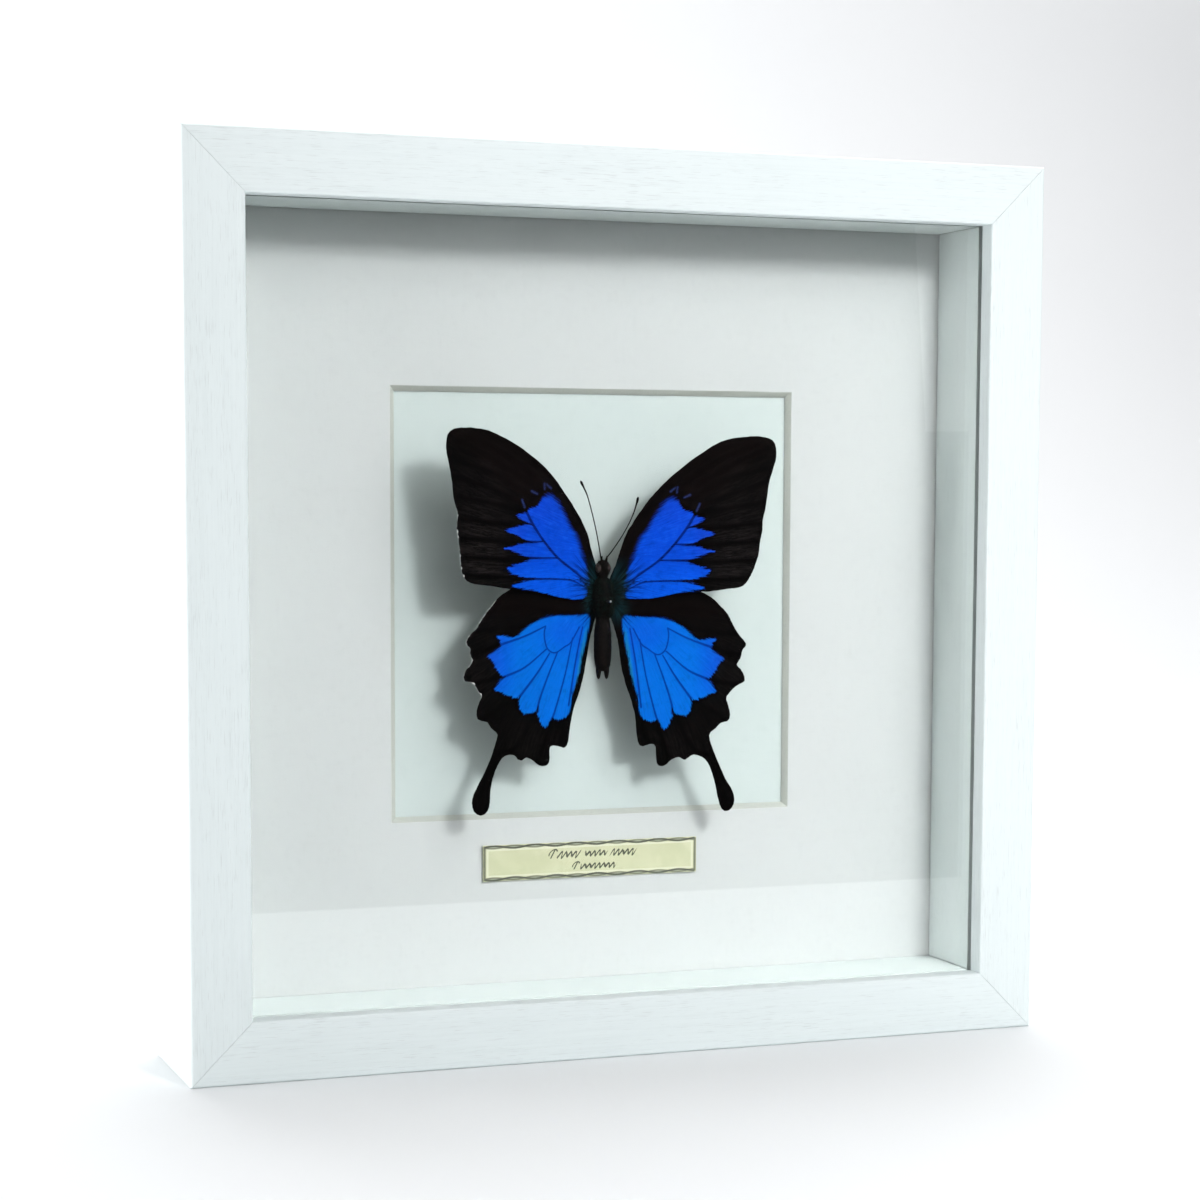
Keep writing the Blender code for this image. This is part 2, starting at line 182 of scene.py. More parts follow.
class Graph:
    """One material's node tree, with a Principled surface."""

    def __init__(self, name: str) -> None:
        """Makes an empty material of this name with its surface and output.

        Args:
            name: the material's name.
        """
        self.material = bpy.data.materials.new(name)
        self.material.use_nodes = True
        self.tree = self.material.node_tree
        self.tree.nodes.clear()
        self.surface = self.tree.nodes.new("ShaderNodeBsdfPrincipled")
        self.output = self.tree.nodes.new("ShaderNodeOutputMaterial")
        self.tree.links.new(self.surface.outputs[0], self.output.inputs["Surface"])

    def node(self, kind: str, settings: dict | None = None, values: dict | None = None) -> bpy.types.Node:
        """Adds a node.

        Args:
            kind: the node's type.
            settings: attributes set before the sockets are.
            values: socket names or numbers, with values, sockets or Value objects.

        Returns:
            The new node.
        """
        made = self.tree.nodes.new(kind)
        for key, setting in (settings or {}).items():
            setattr(made, key, setting)
        for key, value in (values or {}).items():
            self.feed(made.inputs[key], value)
        return made

    def feed(self, socket: Socket, value: object) -> None:
        """Links a value or socket to an input, or sets the input's own number or colour.

        Args:
            socket: the input.
            value: a Value, a socket, a number or a colour.
        """
        if isinstance(value, Value):
            value = value.socket
        if isinstance(value, Socket):
            self.tree.links.new(value, socket)
        elif isinstance(value, tuple) and len(value) == 3 and socket.type == "RGBA":
            socket.default_value = (*value, 1.0)
        else:
            socket.default_value = value

    def principled(self, **values: object) -> None:
        """Sets the surface's sockets; underscores stand for spaces."""
        for key, value in values.items():
            self.feed(self.surface.inputs[key.replace("_", " ")], value)

    def place(self) -> Socket:
        """Object coordinates, in metres."""
        return self.node("ShaderNodeTexCoord").outputs["Object"]

    def uv(self) -> Socket:
        """The piece's own UV map, in millimetres."""
        return self.node("ShaderNodeUVMap", {"uv_map": "UVMap"}).outputs[0]

    def stored(self, name: str) -> Value:
        """A number stored on the piece's points."""
        return Value(self, self.node("ShaderNodeAttribute", {"attribute_name": name}).outputs["Fac"])

    def parts(self, vector: Socket) -> tuple[Value, Value, Value]:
        """The three numbers of a vector."""
        split = self.node("ShaderNodeSeparateXYZ", None, {0: vector})
        return Value(self, split.outputs[0]), Value(self, split.outputs[1]), Value(self, split.outputs[2])

    def joined(self, x: object, y: object, z: object = 0.0) -> Socket:
        """A vector of three numbers."""
        return self.node("ShaderNodeCombineXYZ", None, {0: x, 1: y, 2: z}).outputs[0]

    def stretched(self, vector: Socket, scale: Triple) -> Socket:
        """A vector with each part multiplied by its own scale."""
        return self.node("ShaderNodeMapping", None, {"Vector": vector, "Scale": scale}).outputs[0]

    def noise(self, vector: Socket, scale: float, detail: float = 2.0, rough: float = 0.5) -> Value:
        """Fractal noise about 0.5.

        Args:
            vector: where it is read.
            scale: features in a unit.
            detail: octaves.
            rough: weight of the finer octaves.

        Returns:
            The noise.
        """
        made = self.node("ShaderNodeTexNoise", None, {
            "Vector": vector, "Scale": scale, "Detail": detail, "Roughness": rough})
        return Value(self, made.outputs[0])

    def cells(self, vector: Socket, scale: float) -> Value:
        """Distance to scattered points, in cells."""
        made = self.node("ShaderNodeTexVoronoi", {"feature": "F1"}, {"Vector": vector, "Scale": scale})
        return Value(self, made.outputs["Distance"])

    def blend(self, factor: Value | float, first: object, second: object) -> Socket:
        """A colour between two colours.

        Args:
            factor: 0 for the first, 1 for the second.
            first: a colour.
            second: a colour.

        Returns:
            The colour.
        """
        made = self.node("ShaderNodeMix", {"data_type": "RGBA"})
        self.feed(made.inputs["Factor"], factor)
        self.feed(made.inputs[6], first)
        self.feed(made.inputs[7], second)
        return made.outputs[2]

    def ramp(self, factor: Value, stops: Sequence[tuple[float, Colour]]) -> Socket:
        """A colour read from a ramp of (position, colour) stops.

        Args:
            factor: the place on the ramp.
            stops: its stops.

        Returns:
            The colour.
        """
        made = self.node("ShaderNodeValToRGB")
        elements = made.color_ramp.elements
        while len(elements) < len(stops):
            elements.new(0.5)
        for element, (position, colour) in zip(elements, stops):
            element.position = position
            element.color = (*colour, 1.0)
        self.feed(made.inputs[0], factor)
        return made.outputs[0]

    def bumped(self, height: Value, distance: float, strength: float = 1.0) -> None:
        """Gives the surface a bump.

        Args:
            height: between 0 and 1.
            distance: how far that is, in metres.
            strength: how much of it shows.
        """
        bump = self.node("ShaderNodeBump", None, {
            "Height": height, "Distance": distance, "Strength": strength})
        self.tree.links.new(bump.outputs[0], self.surface.inputs["Normal"])


# ---- meshes


@dataclass
class Patch:
    """Points in millimetres with their faces and what is stored on them.

    Attributes:
        points: N by 3 positions.
        faces: M by 4 or M by 3 indices.
        stored: numbers on the points, by name.
        uv: N by 2 millimetre coordinates, or None.
        slot: which of the piece's materials the faces take.
    """

    points: Array
    faces: list[Array]
    stored: dict[str, Array] = field(default_factory=dict)
    uv: Array | None = None
    slot: int = 0


def build_piece(
        name: str, patches: Sequence[Patch], finishes: Sequence[Material]) -> Object:
    """Joins patches into one mesh object at the origin.

    Args:
        name: the piece's name.
        patches: what it is made of.
        finishes: its materials, by slot.

    Returns:
        The object, linked to the scene.
    """
    offset = 0
    loops: list[Array] = []
    counts: list[Array] = []
    slots: list[Array] = []
    for patch in patches:
        for faces in patch.faces:
            loops.append((faces + offset).ravel())
            counts.append(np.full(len(faces), faces.shape[1]))
            slots.append(np.full(len(faces), patch.slot))
        offset += len(patch.points)
    corner = np.concatenate(loops).astype(np.int32)
    total = np.concatenate(counts)
    start = np.concatenate(([0], np.cumsum(total)[:-1]))
    mesh = bpy.data.meshes.new(name)
    mesh.vertices.add(offset)
    places = np.concatenate([p.points for p in patches]) * MM
    mesh.vertices.foreach_set("co", places.astype(np.float32).ravel())
    mesh.loops.add(len(corner))
    mesh.loops.foreach_set("vertex_index", corner)
    mesh.polygons.add(len(total))
    mesh.polygons.foreach_set("loop_start", start.astype(np.int32))
    mesh.polygons.foreach_set("material_index", np.concatenate(slots).astype(np.int32))
    mesh.polygons.foreach_set("use_smooth", np.full(len(total), True))
    for material in finishes:
        mesh.materials.append(material)
    mesh.update(calc_edges=True)
    if any(p.uv is not None for p in patches):
        flat = np.concatenate([p.uv if p.uv is not None else np.zeros((len(p.points), 2)) for p in patches])
        layer = mesh.uv_layers.new(name="UVMap")
        layer.data.foreach_set("uv", flat[corner].astype(np.float32).ravel())
    for key in sorted({k for p in patches for k in p.stored}):
        numbers = np.concatenate([p.stored.get(key, np.zeros(len(p.points))) for p in patches])
        mesh.attributes.new(key, "FLOAT", "POINT").data.foreach_set("value", numbers.astype(np.float32))
    mesh.validate()
    piece = bpy.data.objects.new(name, mesh)
    bpy.context.scene.collection.objects.link(piece)
    return piece


def grid_faces(rows: int, columns: int, wrap_columns: bool = False) -> Array:
    """Quads of a grid of points stored row by row.

    Args:
        rows: points down.
        columns: points across.
        wrap_columns: whether each row is a ring.

    Returns:
        N by 4 indices.
    """
    r = np.arange(rows - 1)[:, None]
    c = np.arange(columns if wrap_columns else columns - 1)[None, :]
    c2 = (c + 1) % columns
    quad = [r * columns + c, r * columns + c2, (r + 1) * columns + c2, (r + 1) * columns + c]
    return np.stack([q + np.zeros_like(r * c) for q in quad], axis=-1).reshape(-1, 4)


def grid_rim(rows: int, columns: int) -> Array:
    """The border of a grid of points stored row by row, once round from its first point.

    Args:
        rows: points down.
        columns: points across.

    Returns:
        The border's indices.
    """
    far = columns - 1
    return np.concatenate([
        np.arange(rows) * columns, (rows - 1) * columns + np.arange(1, columns),
        np.arange(rows - 2, -1, -1) * columns + far, np.arange(far - 1, 0, -1)])


def fan_caps(rows: int, columns: int) -> list[Array]:
    """Triangles that close the first and last rings of a wrapped grid, about each ring's first point.

    Args:
        rows: how many rings.
        columns: points in a ring.

    Returns:
        Both caps.
    """
    i = np.arange(1, columns - 1)
    first = np.stack([np.zeros_like(i), i + 1, i], axis=-1)
    last = np.stack([np.zeros_like(i), i, i + 1], axis=-1) + (rows - 1) * columns
    return [first, last]


def curve_through(points: Points, steps: int, closed: bool = False) -> Array:
    """A Catmull-Rom curve through points.

    Each stretch is the cubic whose slope at a point is half the step between that point's neighbours.

    Args:
        points: what it passes through.
        steps: how many pieces each stretch has.
        closed: whether it returns to its start.

    Returns:
        The curve's points.
    """
    p = np.array(points, dtype=float)
    if not closed:
        p = np.vstack([2 * p[0] - p[1], p, 2 * p[-1] - p[-2]])
    before, here, after, beyond = (np.roll(p, k, axis=0) for k in (1, 0, -1, -2))
    t = (np.arange(steps) / steps)[None, :, None]
    a, b, c, d = (q[:, None, :] for q in (before, here, after, beyond))
    square = (2 * a - 5 * b + 4 * c - d) * t**2
    cube = (3 * b - a - 3 * c + d) * t**3
    made = 0.5 * (2 * b + (c - a) * t + square + cube)
    if closed:
        return made.reshape(-1, p.shape[1])
    return np.vstack([made[1:-2].reshape(-1, p.shape[1]), p[-2:-1]])


def tube(path: Array, radius: Array, sides: int) -> Patch:
    """A round tube along a path: each ring is the path's point plus radius times cosine and sine across it.

    What is stored as "reach" runs from 0 at its start to 1 at its end.

    Args:
        path: N by 3 centre line.
        radius: N radii.
        sides: points in a ring.

    Returns:
        The tube with closed ends.
    """
    along = np.gradient(path, axis=0)
    along /= np.linalg.norm(along, axis=1, keepdims=True)
    guide = np.array([0.0, 1.0, 0.0]) if abs(along[:, 1]).max() < 0.9 else np.array([1.0, 0.0, 0.0])
    across = np.cross(along, guide)
    across /= np.linalg.norm(across, axis=1, keepdims=True)
    other = np.cross(across, along)
    angle = 2 * np.pi * np.arange(sides) / sides
    ring = across[:, None] * np.cos(angle)[None, :, None] + other[:, None] * np.sin(angle)[None, :, None]
    points = path[:, None] + ring * radius[:, None, None]
    far = np.linspace(0, 1, len(path))
    faces = grid_faces(len(path), sides, wrap_columns=True)[:, ::-1]
    caps = [c[:, ::-1] for c in fan_caps(len(path), sides)]
    return Patch(points.reshape(-1, 3), [faces, *caps], {"reach": np.repeat(far, sides)})


def line_distance(points: Array, line: Array) -> tuple[Array, Array]:
    """Distance from points to a line of straight stretches.

    Args:
        points: N by 2.
        line: M by 2.

    Returns:
        The distances, and how far along the line each nearest point is, from 0 to 1.
    """
    best = np.full(len(points), np.inf)
    where = np.zeros(len(points))
    for k, (a, b) in enumerate(zip(line[:-1], line[1:])):
        ab = b - a
        t = np.clip((points - a) @ ab / max(ab @ ab, TINY), 0, 1)
        d = np.hypot(*(points - a - t[:, None] * ab).T)
        closer = d < best
        best[closer] = d[closer]
        where[closer] = (k + t[closer]) / (len(line) - 1)
    return best, where


def outline_distance(points: Array, corners: Array) -> tuple[Array, Array]:
    """Signed distance to a closed outline, positive inside.

    A point is inside where a line to its right crosses the outline an odd number of times.

    Args:
        points: N by 2.
        corners: M by 2.

    Returns:
        The distances, and the nearest points on the outline.
    """
    best = np.full(len(points), np.inf)
    near = points.copy()
    inside = np.zeros(len(points), dtype=bool)
    x, y = points.T
    for a, b in zip(corners, np.roll(corners, -1, axis=0)):
        ab = b - a
        t = np.clip((points - a) @ ab / max(ab @ ab, TINY), 0, 1)
        q = a + t[:, None] * ab
        d = np.hypot(*(points - q).T)
        closer = d < best
        best[closer] = d[closer]
        near[closer] = q[closer]
        if a[1] != b[1]:
            inside ^= ((a[1] > y) != (b[1] > y)) & (x < ab[0] * (y - a[1]) / ab[1] + a[0])
    return np.where(inside, best, -best), near


def smooth_step(value: Array, low: float, high: float) -> Array:
    """The cubic 3t^2 - 2t^3 of the value's place between low and high.

    Args:
        value: numbers.
        low: where it is 0.
        high: where it is 1.

    Returns:
        The steps.
    """
    t = np.clip((value - low) / (high - low), 0, 1)
    return t * t * (3 - 2 * t)


# ---- finishes


@dataclass(frozen=True)
class PaintedWood:
    """Satin white paint over open-grained wood; the grain runs along the piece's U."""

    name: str = "white_painted_wood"
    white: Colour = (0.88, 0.955, 0.96)
    shade: Colour = (0.79, 0.865, 0.87)
    pore: Colour = (0.47, 0.49, 0.49)

    def material(self) -> Material:
        """Builds the paint with fine pores along the grain, faint brush marks and small wear.

        Returns:
            The material.
        """
        g = Graph(self.name)
        uv = g.uv()
        grain = g.noise(g.stretched(uv, (0.035, 1.5, 1.0)), 1.0, 4.0, 0.55)
        pores = g.noise(g.stretched(uv, (0.16, 4.2, 1.0)), 1.0, 2.0, 0.5)
        patches = g.noise(g.stretched(uv, (0.02, 0.11, 1.0)), 1.0, 2.0, 0.5)
        pore = (pores + patches * 0.22).step(0.71, 0.80)
        tone = g.blend(grain.step(0.35, 0.75) * 0.35, self.white, self.shade)
        speck = g.noise(g.place(), 2600.0, 2.0).step(0.70, 0.76) * 0.12
        colour = g.blend((pore * 0.22 + speck).least(1.0), tone, self.pore)
        g.principled(Base_Color=colour, Roughness=0.36 + 0.16 * grain + 0.2 * pore, Specular_IOR_Level=0.4)
        g.bumped(grain * 0.35 + (1.0 - pore) * 0.65, 0.00007, 0.35)
        return g.material


@dataclass(frozen=True)
class ClearPane:
    """Clear picture glass that lets the lamps through to what it shuts in."""

    name: str = "clear_picture_glass"
    tint: Colour = (0.985, 0.995, 0.99)
    let_through: Colour = (0.95, 0.965, 0.96)
    index: float = 1.46

    def material(self) -> Material:
        """Builds smooth glass, with smears in its roughness, that casts no shadow.

        Returns:
            The material.
        """
        g = Graph(self.name)
        smear = g.noise(g.place(), 22.0, 3.0, 0.6)
        g.principled(
            Base_Color=self.tint, Roughness=smear.step(0.62, 0.9) * 0.015,
            Transmission_Weight=1.0, IOR=self.index)
        lamp = g.node("ShaderNodeLightPath").outputs["Is Shadow Ray"]
        open_way = g.node("ShaderNodeBsdfTransparent", None, {"Color": self.let_through})
        mixed = g.node("ShaderNodeMixShader", None, {
            0: lamp, 1: g.surface.outputs[0], 2: open_way.outputs[0]})
        g.tree.links.new(mixed.outputs[0], g.output.inputs["Surface"])
        return g.material


@dataclass(frozen=True)
class Card:
    """Matt paper-faced card or board."""

    name: str
    white: Colour
    shade: Colour
    grit: float = 0.00004
    fibre: float = 900.0
    rough: float = 0.82

    def material(self) -> Material:
        """Builds soft mottling with short paper fibres.

        Returns:
            The material.
        """
        g = Graph(self.name)
        p = g.place()
        cloud = g.noise(p, 45.0, 3.0, 0.6)
        strand = g.noise(g.stretched(p, (1.0, 1.0, 0.35)), self.fibre, 3.0, 0.6)
        strand_across = g.noise(g.stretched(p, (0.35, 1.0, 1.0)), self.fibre, 3.0, 0.6)
        tooth = g.noise(p, 3500.0, 2.0)
        fleck = (strand * strand_across).step(0.22, 0.42)
        mixed = (cloud * 0.55 + fleck * 0.45).step(0.15, 0.85)
        g.principled(
            Base_Color=g.blend(mixed, self.white, self.shade), Roughness=self.rough + 0.1 * tooth - 0.05,
            Specular_IOR_Level=0.25)
        g.bumped(fleck * 0.5 + tooth * 0.5, self.grit, 0.6)
        return g.material


@dataclass(frozen=True)
class NameCard:
    """Cream card with a printed double border, wavy along its long sides, and two lines of pen loops.

    UV is in millimetres. Words are (level, (start, end), half height) and capitals (middle, radius).
    """

    name: str = "cream_name_card"
    wide: float = 65.4
    high: float = 10.3
    cream: Colour = (0.52, 0.53, 0.345)
    warm: Colour = (0.60, 0.60, 0.41)
    pale: Colour = (0.68, 0.68, 0.53)
    ink: Colour = (0.018, 0.024, 0.018)
    grey: Colour = (0.30, 0.32, 0.26)
    twist: float = 6.3
    wave: float = 0.36
    border_at: float = 0.58
    side_at: float = 0.46
    words: tuple[tuple[float, Pair, float], ...] = (
        (6.75, (22.6, 29.4), 0.62), (6.75, (30.6, 37.8), 0.50), (6.75, (38.9, 46.6), 0.58),
        (3.15, (29.4, 40.6), 0.48))
    capitals: tuple[tuple[Pair, float], ...] = (((21.2, 7.15), 1.25), ((28.2, 3.5), 1.05))
    slant: float = 0.55
    loop_length: float = 1.45

    def material(self) -> Material:
        """Builds the print as distances from the card's edges and from two running pen lines.

        Returns:
            The material.
        """
        g = Graph(self.name)
        u, v, _ = g.parts(g.uv())
        edge_u = u.least(self.wide - u)
        edge_v = v.least(self.high - v)
        wave = (u * (math.pi / self.twist)).sine() * self.wave
        level = edge_v - self.border_at
        first = 1.0 - (level + wave).size().step(0.20, 0.34)
        second = 1.0 - (level - wave).size().step(0.14, 0.30)
        ends = (1.0 - (edge_u - self.side_at).size().step(0.26, 0.44)) * edge_v.step(0.15, 0.30)
        inside = edge_u.step(0.45, 0.60)
        band = (1.0 - level.size().step(0.10, 0.42)) * inside
        line = (first.most(second * 0.75) * inside).most(ends * 0.85)
        light = 1.0 - (edge_v.least(edge_u) - 1.35).size().step(0.20, 0.38)
        pen = self.flourish(g, u, v)
        mottle = g.noise(g.place(), 160.0, 3.0, 0.6)
        fibre = g.noise(g.place(), 2400.0, 2.0)
        base = g.blend(mottle.step(0.3, 0.75), self.cream, self.warm)
        base = g.blend(light * 0.85, base, self.pale)
        base = g.blend(band * 0.7, base, self.grey)
        base = g.blend((line * 0.92).most(pen * 0.97) * (0.85 + 0.15 * fibre), base, self.ink)
        g.principled(Base_Color=base, Roughness=0.62 + 0.15 * fibre, Specular_IOR_Level=0.3)
        g.bumped(fibre, 0.00002, 0.5)
        return g.material

    def flourish(self, g: Graph, u: Value, v: Value) -> Value:
        """Two lines of pen loops that spell nothing, each opened by a large flourish.

        Args:
            g: not used.
            u: millimetres from the card's left end.
            v: millimetres above its lower edge.

        Returns:
            How much ink lies on a point.
        """
        strokes = [self.pen_loops(u, v, *word) for word in self.words]
        strokes += [self.capital(u, v, *letter) for letter in self.capitals]
        return reduce(Value.most, strokes)

    def pen_loops(self, u: Value, v: Value, level: float, span: Pair, high: float) -> Value:
        """A run of slanted loops whose height swells and sinks: v = level + swell * high * sin(phase).

        Args:
            u: millimetres from the card's left end.
            v: millimetres above its lower edge.
            level: height of the run's middle.
            span: where the run starts and ends.
            high: half the height of a loop.

        Returns:
            How much ink lies on a point.
        """
        slant = u - (v - level) * self.slant
        phase = slant * (2 * math.pi / self.loop_length)
        swell = (slant * 1.13).sine() * 0.30 + (slant * 2.9 + level).sine() * 0.25 + 0.95
        line = phase.sine() * swell * high + level
        nib = (phase + 1.9).sine() * 0.09 + 0.25
        steep = (phase + math.pi / 2).sine().size() * high * 2.6 + 1.0
        ink = 1.0 - ((v - line).size() / steep - nib).step(-0.05, 0.06)
        return ink * slant.step(span[0], span[0] + 0.25) * (1.0 - slant.step(span[1] - 0.25, span[1]))

    def capital(self, u: Value, v: Value, centre: Pair, size: float) -> Value:
        """A slanted open ring with a stem through it.

        Args:
            u: millimetres from the card's left end.
            v: millimetres above its lower edge.
            centre: the ring's middle.
            size: the ring's radius.

        Returns:
            How much ink lies on a point.
        """
        up = v - centre[1]
        over = u - centre[0] - up * self.slant
        ring = ((over * over * 1.3 + up * up * 1.2) ** 0.5 - size).size()
        open_part = (over * 0.6 - up).step(-0.2 * size, 0.35 * size)
        curl = (1.0 - ring.step(0.14, 0.26)) * (1.0 - open_part)
        stem = (1.0 - over.size().step(0.15, 0.27)) * (1.0 - (up + 0.15).size().step(size * 0.95, size * 1.1))
        return curl.most(stem)


@dataclass(frozen=True)
class Hardboard:
    """Pressed brown hardboard with loose surface fibres."""

    name: str = "brown_hardboard"
    dark: Colour = (0.12, 0.062, 0.03)
    light: Colour = (0.32, 0.19, 0.10)

    def material(self) -> Material:
        """Builds matted fibres at three sizes with darker blotches.

        Returns:
            The material.
        """
        g = Graph(self.name)
        p = g.place()
        mat = g.noise(p, 1300.0, 5.0, 0.7)
        strand = g.noise(g.stretched(p, (1.0, 1.0, 0.2)), 1500.0, 3.0)
        blot = g.noise(p, 30.0, 3.0, 0.6)
        tone = (mat * 0.5 + strand * 0.3 + blot * 0.3).step(0.36, 0.74)
        g.principled(
            Base_Color=g.blend(tone, self.dark, self.light), Roughness=0.7 + 0.2 * mat, Specular_IOR_Level=0.3)
        g.bumped(mat * 0.6 + strand * 0.4, 0.00015, 0.7)
        return g.material


@dataclass(frozen=True)
class SheetSteel:
    """Rolled sheet metal with scratches and dull spots."""

    name: str
    bright: Colour
    dull: Colour
    rough: float = 0.3

    def material(self) -> Material:
        """Builds fine rolling lines, tarnish clouds and a few spots.

        Returns:
            The material.
        """
        g = Graph(self.name)
        p = g.place()
        roll = g.noise(g.stretched(p, (0.08, 1.0, 1.0)), 4200.0, 3.0)
        cloud = g.noise(p, 260.0, 4.0, 0.6)
        spot = g.noise(p, 900.0, 2.0).step(0.66, 0.74)
        g.principled(
            Base_Color=g.blend((cloud * 0.7 + spot * 0.5).step(0.3, 0.85), self.bright, self.dull),
            Metallic=1.0, Roughness=self.rough + 0.2 * roll + 0.2 * cloud.step(0.45, 0.7))
        g.bumped(roll, 0.00002, 0.5)
        return g.material


@dataclass(frozen=True)
class WingScales:
    """Velvet black wing scales with a field of structural blue.

    The mesh stores, in millimetres: blue (distance inside the blue field), vein (distance from a dark
    vein's edge), rib (distance from any vein) and root (distance from the wing's root); hue, dust, ash,
    warm, pale and fade as amounts; and the streak coordinates across, along and ray.
    """

    name: str
    stops: Stops
    ink: Colour
    glint: Colour
    black: Colour = (0.0005, 0.0004, 0.0004)
    brown: Colour = (0.0019, 0.0008, 0.0007)
    ash: Colour = (0.0145, 0.0120, 0.0118)
    root_dark: Colour = (0.0006, 0.0035, 0.0045)
    root_teal: Colour = (0.007, 0.034, 0.042)
    pale: Colour = (0.022, 0.036, 0.13)
    chip: Colour = (0.55, 0.55, 0.55)

    def material(self) -> Material:
        """Builds jagged colour edges, dark veins, streaks along the wing's rays and a fine scale relief.

        Returns:
            The material.
        """
        g = Graph(self.name)
        flow = g.joined(g.stored("across"), g.stored("along"))
        grain = g.noise(g.place(), 5200.0, 2.0, 0.6)
        streak = g.noise(g.stretched(flow, (3.4, 0.16, 1.0)), 1.0, 3.0, 0.6)
        fine = g.noise(g.stretched(flow, (9.0, 0.7, 1.0)), 1.0, 2.0, 0.6)
        comb = g.noise(g.joined(g.stored("ray"), g.stored("root") * 0.10), 1.0, 3.0, 0.65)
        ragged = (fine - 0.5) * 1.6 + (streak - 0.5) * 2.0 + (grain - 0.5) * 0.6
        blue = ((g.stored("blue") + ragged) / g.stored("fade")).step(-0.18, 0.22)
        bright = self.blue(g, streak, fine, grain)
        night = self.night(g, streak, fine, grain)
        rays = g.blend(comb.step(0.40, 0.64), self.root_dark, self.root_teal)
        near = g.stored("root") + (comb - 0.5) * 7.0
        shade = (1.0 - comb.step(0.38, 0.54)) * (1.0 - g.stored("root").step(4.5, 10.5))
        bright = g.blend(shade * 0.85, bright, self.ink)
        bright = g.blend(1.0 - near.step(1.2, 5.4), bright, rays)
        night = g.blend((1.0 - near.step(1.5, 6.5)) * 0.8, night, rays)
        g.principled(
            Base_Color=g.blend(blue, night, bright), Roughness=0.50 + 0.16 * grain, Metallic=blue * 0.25,
            Specular_IOR_Level=0.012)
        g.bumped(grain * 0.6 + fine * 0.4, 0.00005, 0.5)
        return g.material

    def blue(self, g: Graph, streak: Value, fine: Value, grain: Value) -> Socket:
        """The blue: a ramp over its trend, combed with light and dark lines, under dark veins.

        Args:
            g: the shader.
            streak: broad streaks.
            fine: fine streaks.
            grain: scale noise.

        Returns:
            The colour.
        """
        mottle = g.noise(g.place(), 420.0, 4.0, 0.65)
        tone = g.stored("hue") + (streak - 0.5) * 0.55 + (mottle - 0.5) * 0.35
        bright = g.ramp(tone.most(0.0).least(1.0), self.stops)
        bright = g.blend(streak.step(0.50, 0.66) * 0.24 + mottle.step(0.50, 0.72) * 0.22, bright, self.glint)
        dark = fine.step(0.50, 0.68) * 0.14 + (1.0 - streak.step(0.36, 0.50)) * 0.20
        bright = g.blend(dark + (1.0 - mottle.step(0.30, 0.50)) * 0.22, bright, self.ink)
        vein = 1.0 - (g.stored("vein") + (grain - 0.5) * 0.20).step(-0.10, 0.26)
        return g.blend(vein * 0.84, bright, self.ink)

    def night(self, g: Graph, streak: Value, fine: Value, grain: Value) -> Socket:
        """The black: warm at the front border, ashy between the veins, with dusty strokes and worn chips.

        Args:
            g: the shader.
            streak: broad streaks.
            fine: fine streaks.
            grain: scale noise.

        Returns:
            The colour.
        """
        night = g.blend((streak - 0.45 + 0.25 * g.stored("warm")).step(-0.02, 0.32), self.black, self.brown)
        between = g.stored("rib").step(0.15, 1.3)
        hair = streak.step(0.40, 0.66) * 0.55 + fine.step(0.45, 0.70) * 0.45
        night = g.blend(hair * between * g.stored("ash"), night, self.ash)
        dust = g.stored("dust") + (grain - 0.5) * 0.9 + (fine - 0.5) * 0.8
        night = g.blend(dust.step(0.40, 1.1) * 0.7, night, self.pale)
        spots = g.noise(g.place(), 1100.0, 2.0)
        chip = g.stored("pale") * (0.2 + spots * 1.3 + grain * 0.3)
        return g.blend(chip.step(0.48, 0.60), night, self.chip)


@dataclass(frozen=True)
class Underside:
    """Dull brown scales of the wings' undersides, with grey rays."""

    name: str = "brown_wing_underside"
    dark: Colour = (0.022, 0.014, 0.010)
    light: Colour = (0.075, 0.060, 0.050)

    def material(self) -> Material:
        """Builds brown with grey rays between the veins.

        Returns:
            The material.
        """
        g = Graph(self.name)
        flow = g.joined(g.stored("across"), g.stored("along"))
        streak = g.noise(g.stretched(flow, (2.2, 0.2, 1.0)), 1.0, 3.0)
        grain = g.noise(g.place(), 4800.0, 2.0)
        tone = (streak * 0.7 + grain * 0.3).step(0.32, 0.72)
        g.principled(
            Base_Color=g.blend(tone, self.dark, self.light), Roughness=0.7 + 0.1 * grain,
            Specular_IOR_Level=0.15)
        g.bumped(grain, 0.00004, 0.5)
        return g.material


@dataclass(frozen=True)
class BodyScales:
    """Near-black scales and skin of the body, banded along the abdomen."""

    name: str = "black_body_scales"
    black: Colour = (0.0006, 0.0004, 0.0003)
    brown: Colour = (0.0050, 0.0022, 0.0018)
    green: Colour = (0.0025, 0.0085, 0.0065)

    def material(self) -> Material:
        """Builds rows of scales with darker rings between the segments.

        Returns:
            The material.
        """
        g = Graph(self.name)
        p = g.place()
        grain = g.noise(g.stretched(p, (1.0, 1.0, 0.45)), 4200.0, 3.0, 0.6)
        cloud = g.noise(p, 700.0, 2.0)
        base = g.blend(grain.step(0.35, 0.70), self.black, self.brown)
        base = g.blend(g.stored("green") * cloud.step(0.35, 0.65), base, self.green)
        g.principled(Base_Color=base, Roughness=0.48 + 0.25 * grain, Specular_IOR_Level=0.07)
        g.bumped(grain, 0.00012, 0.8)
        return g.material


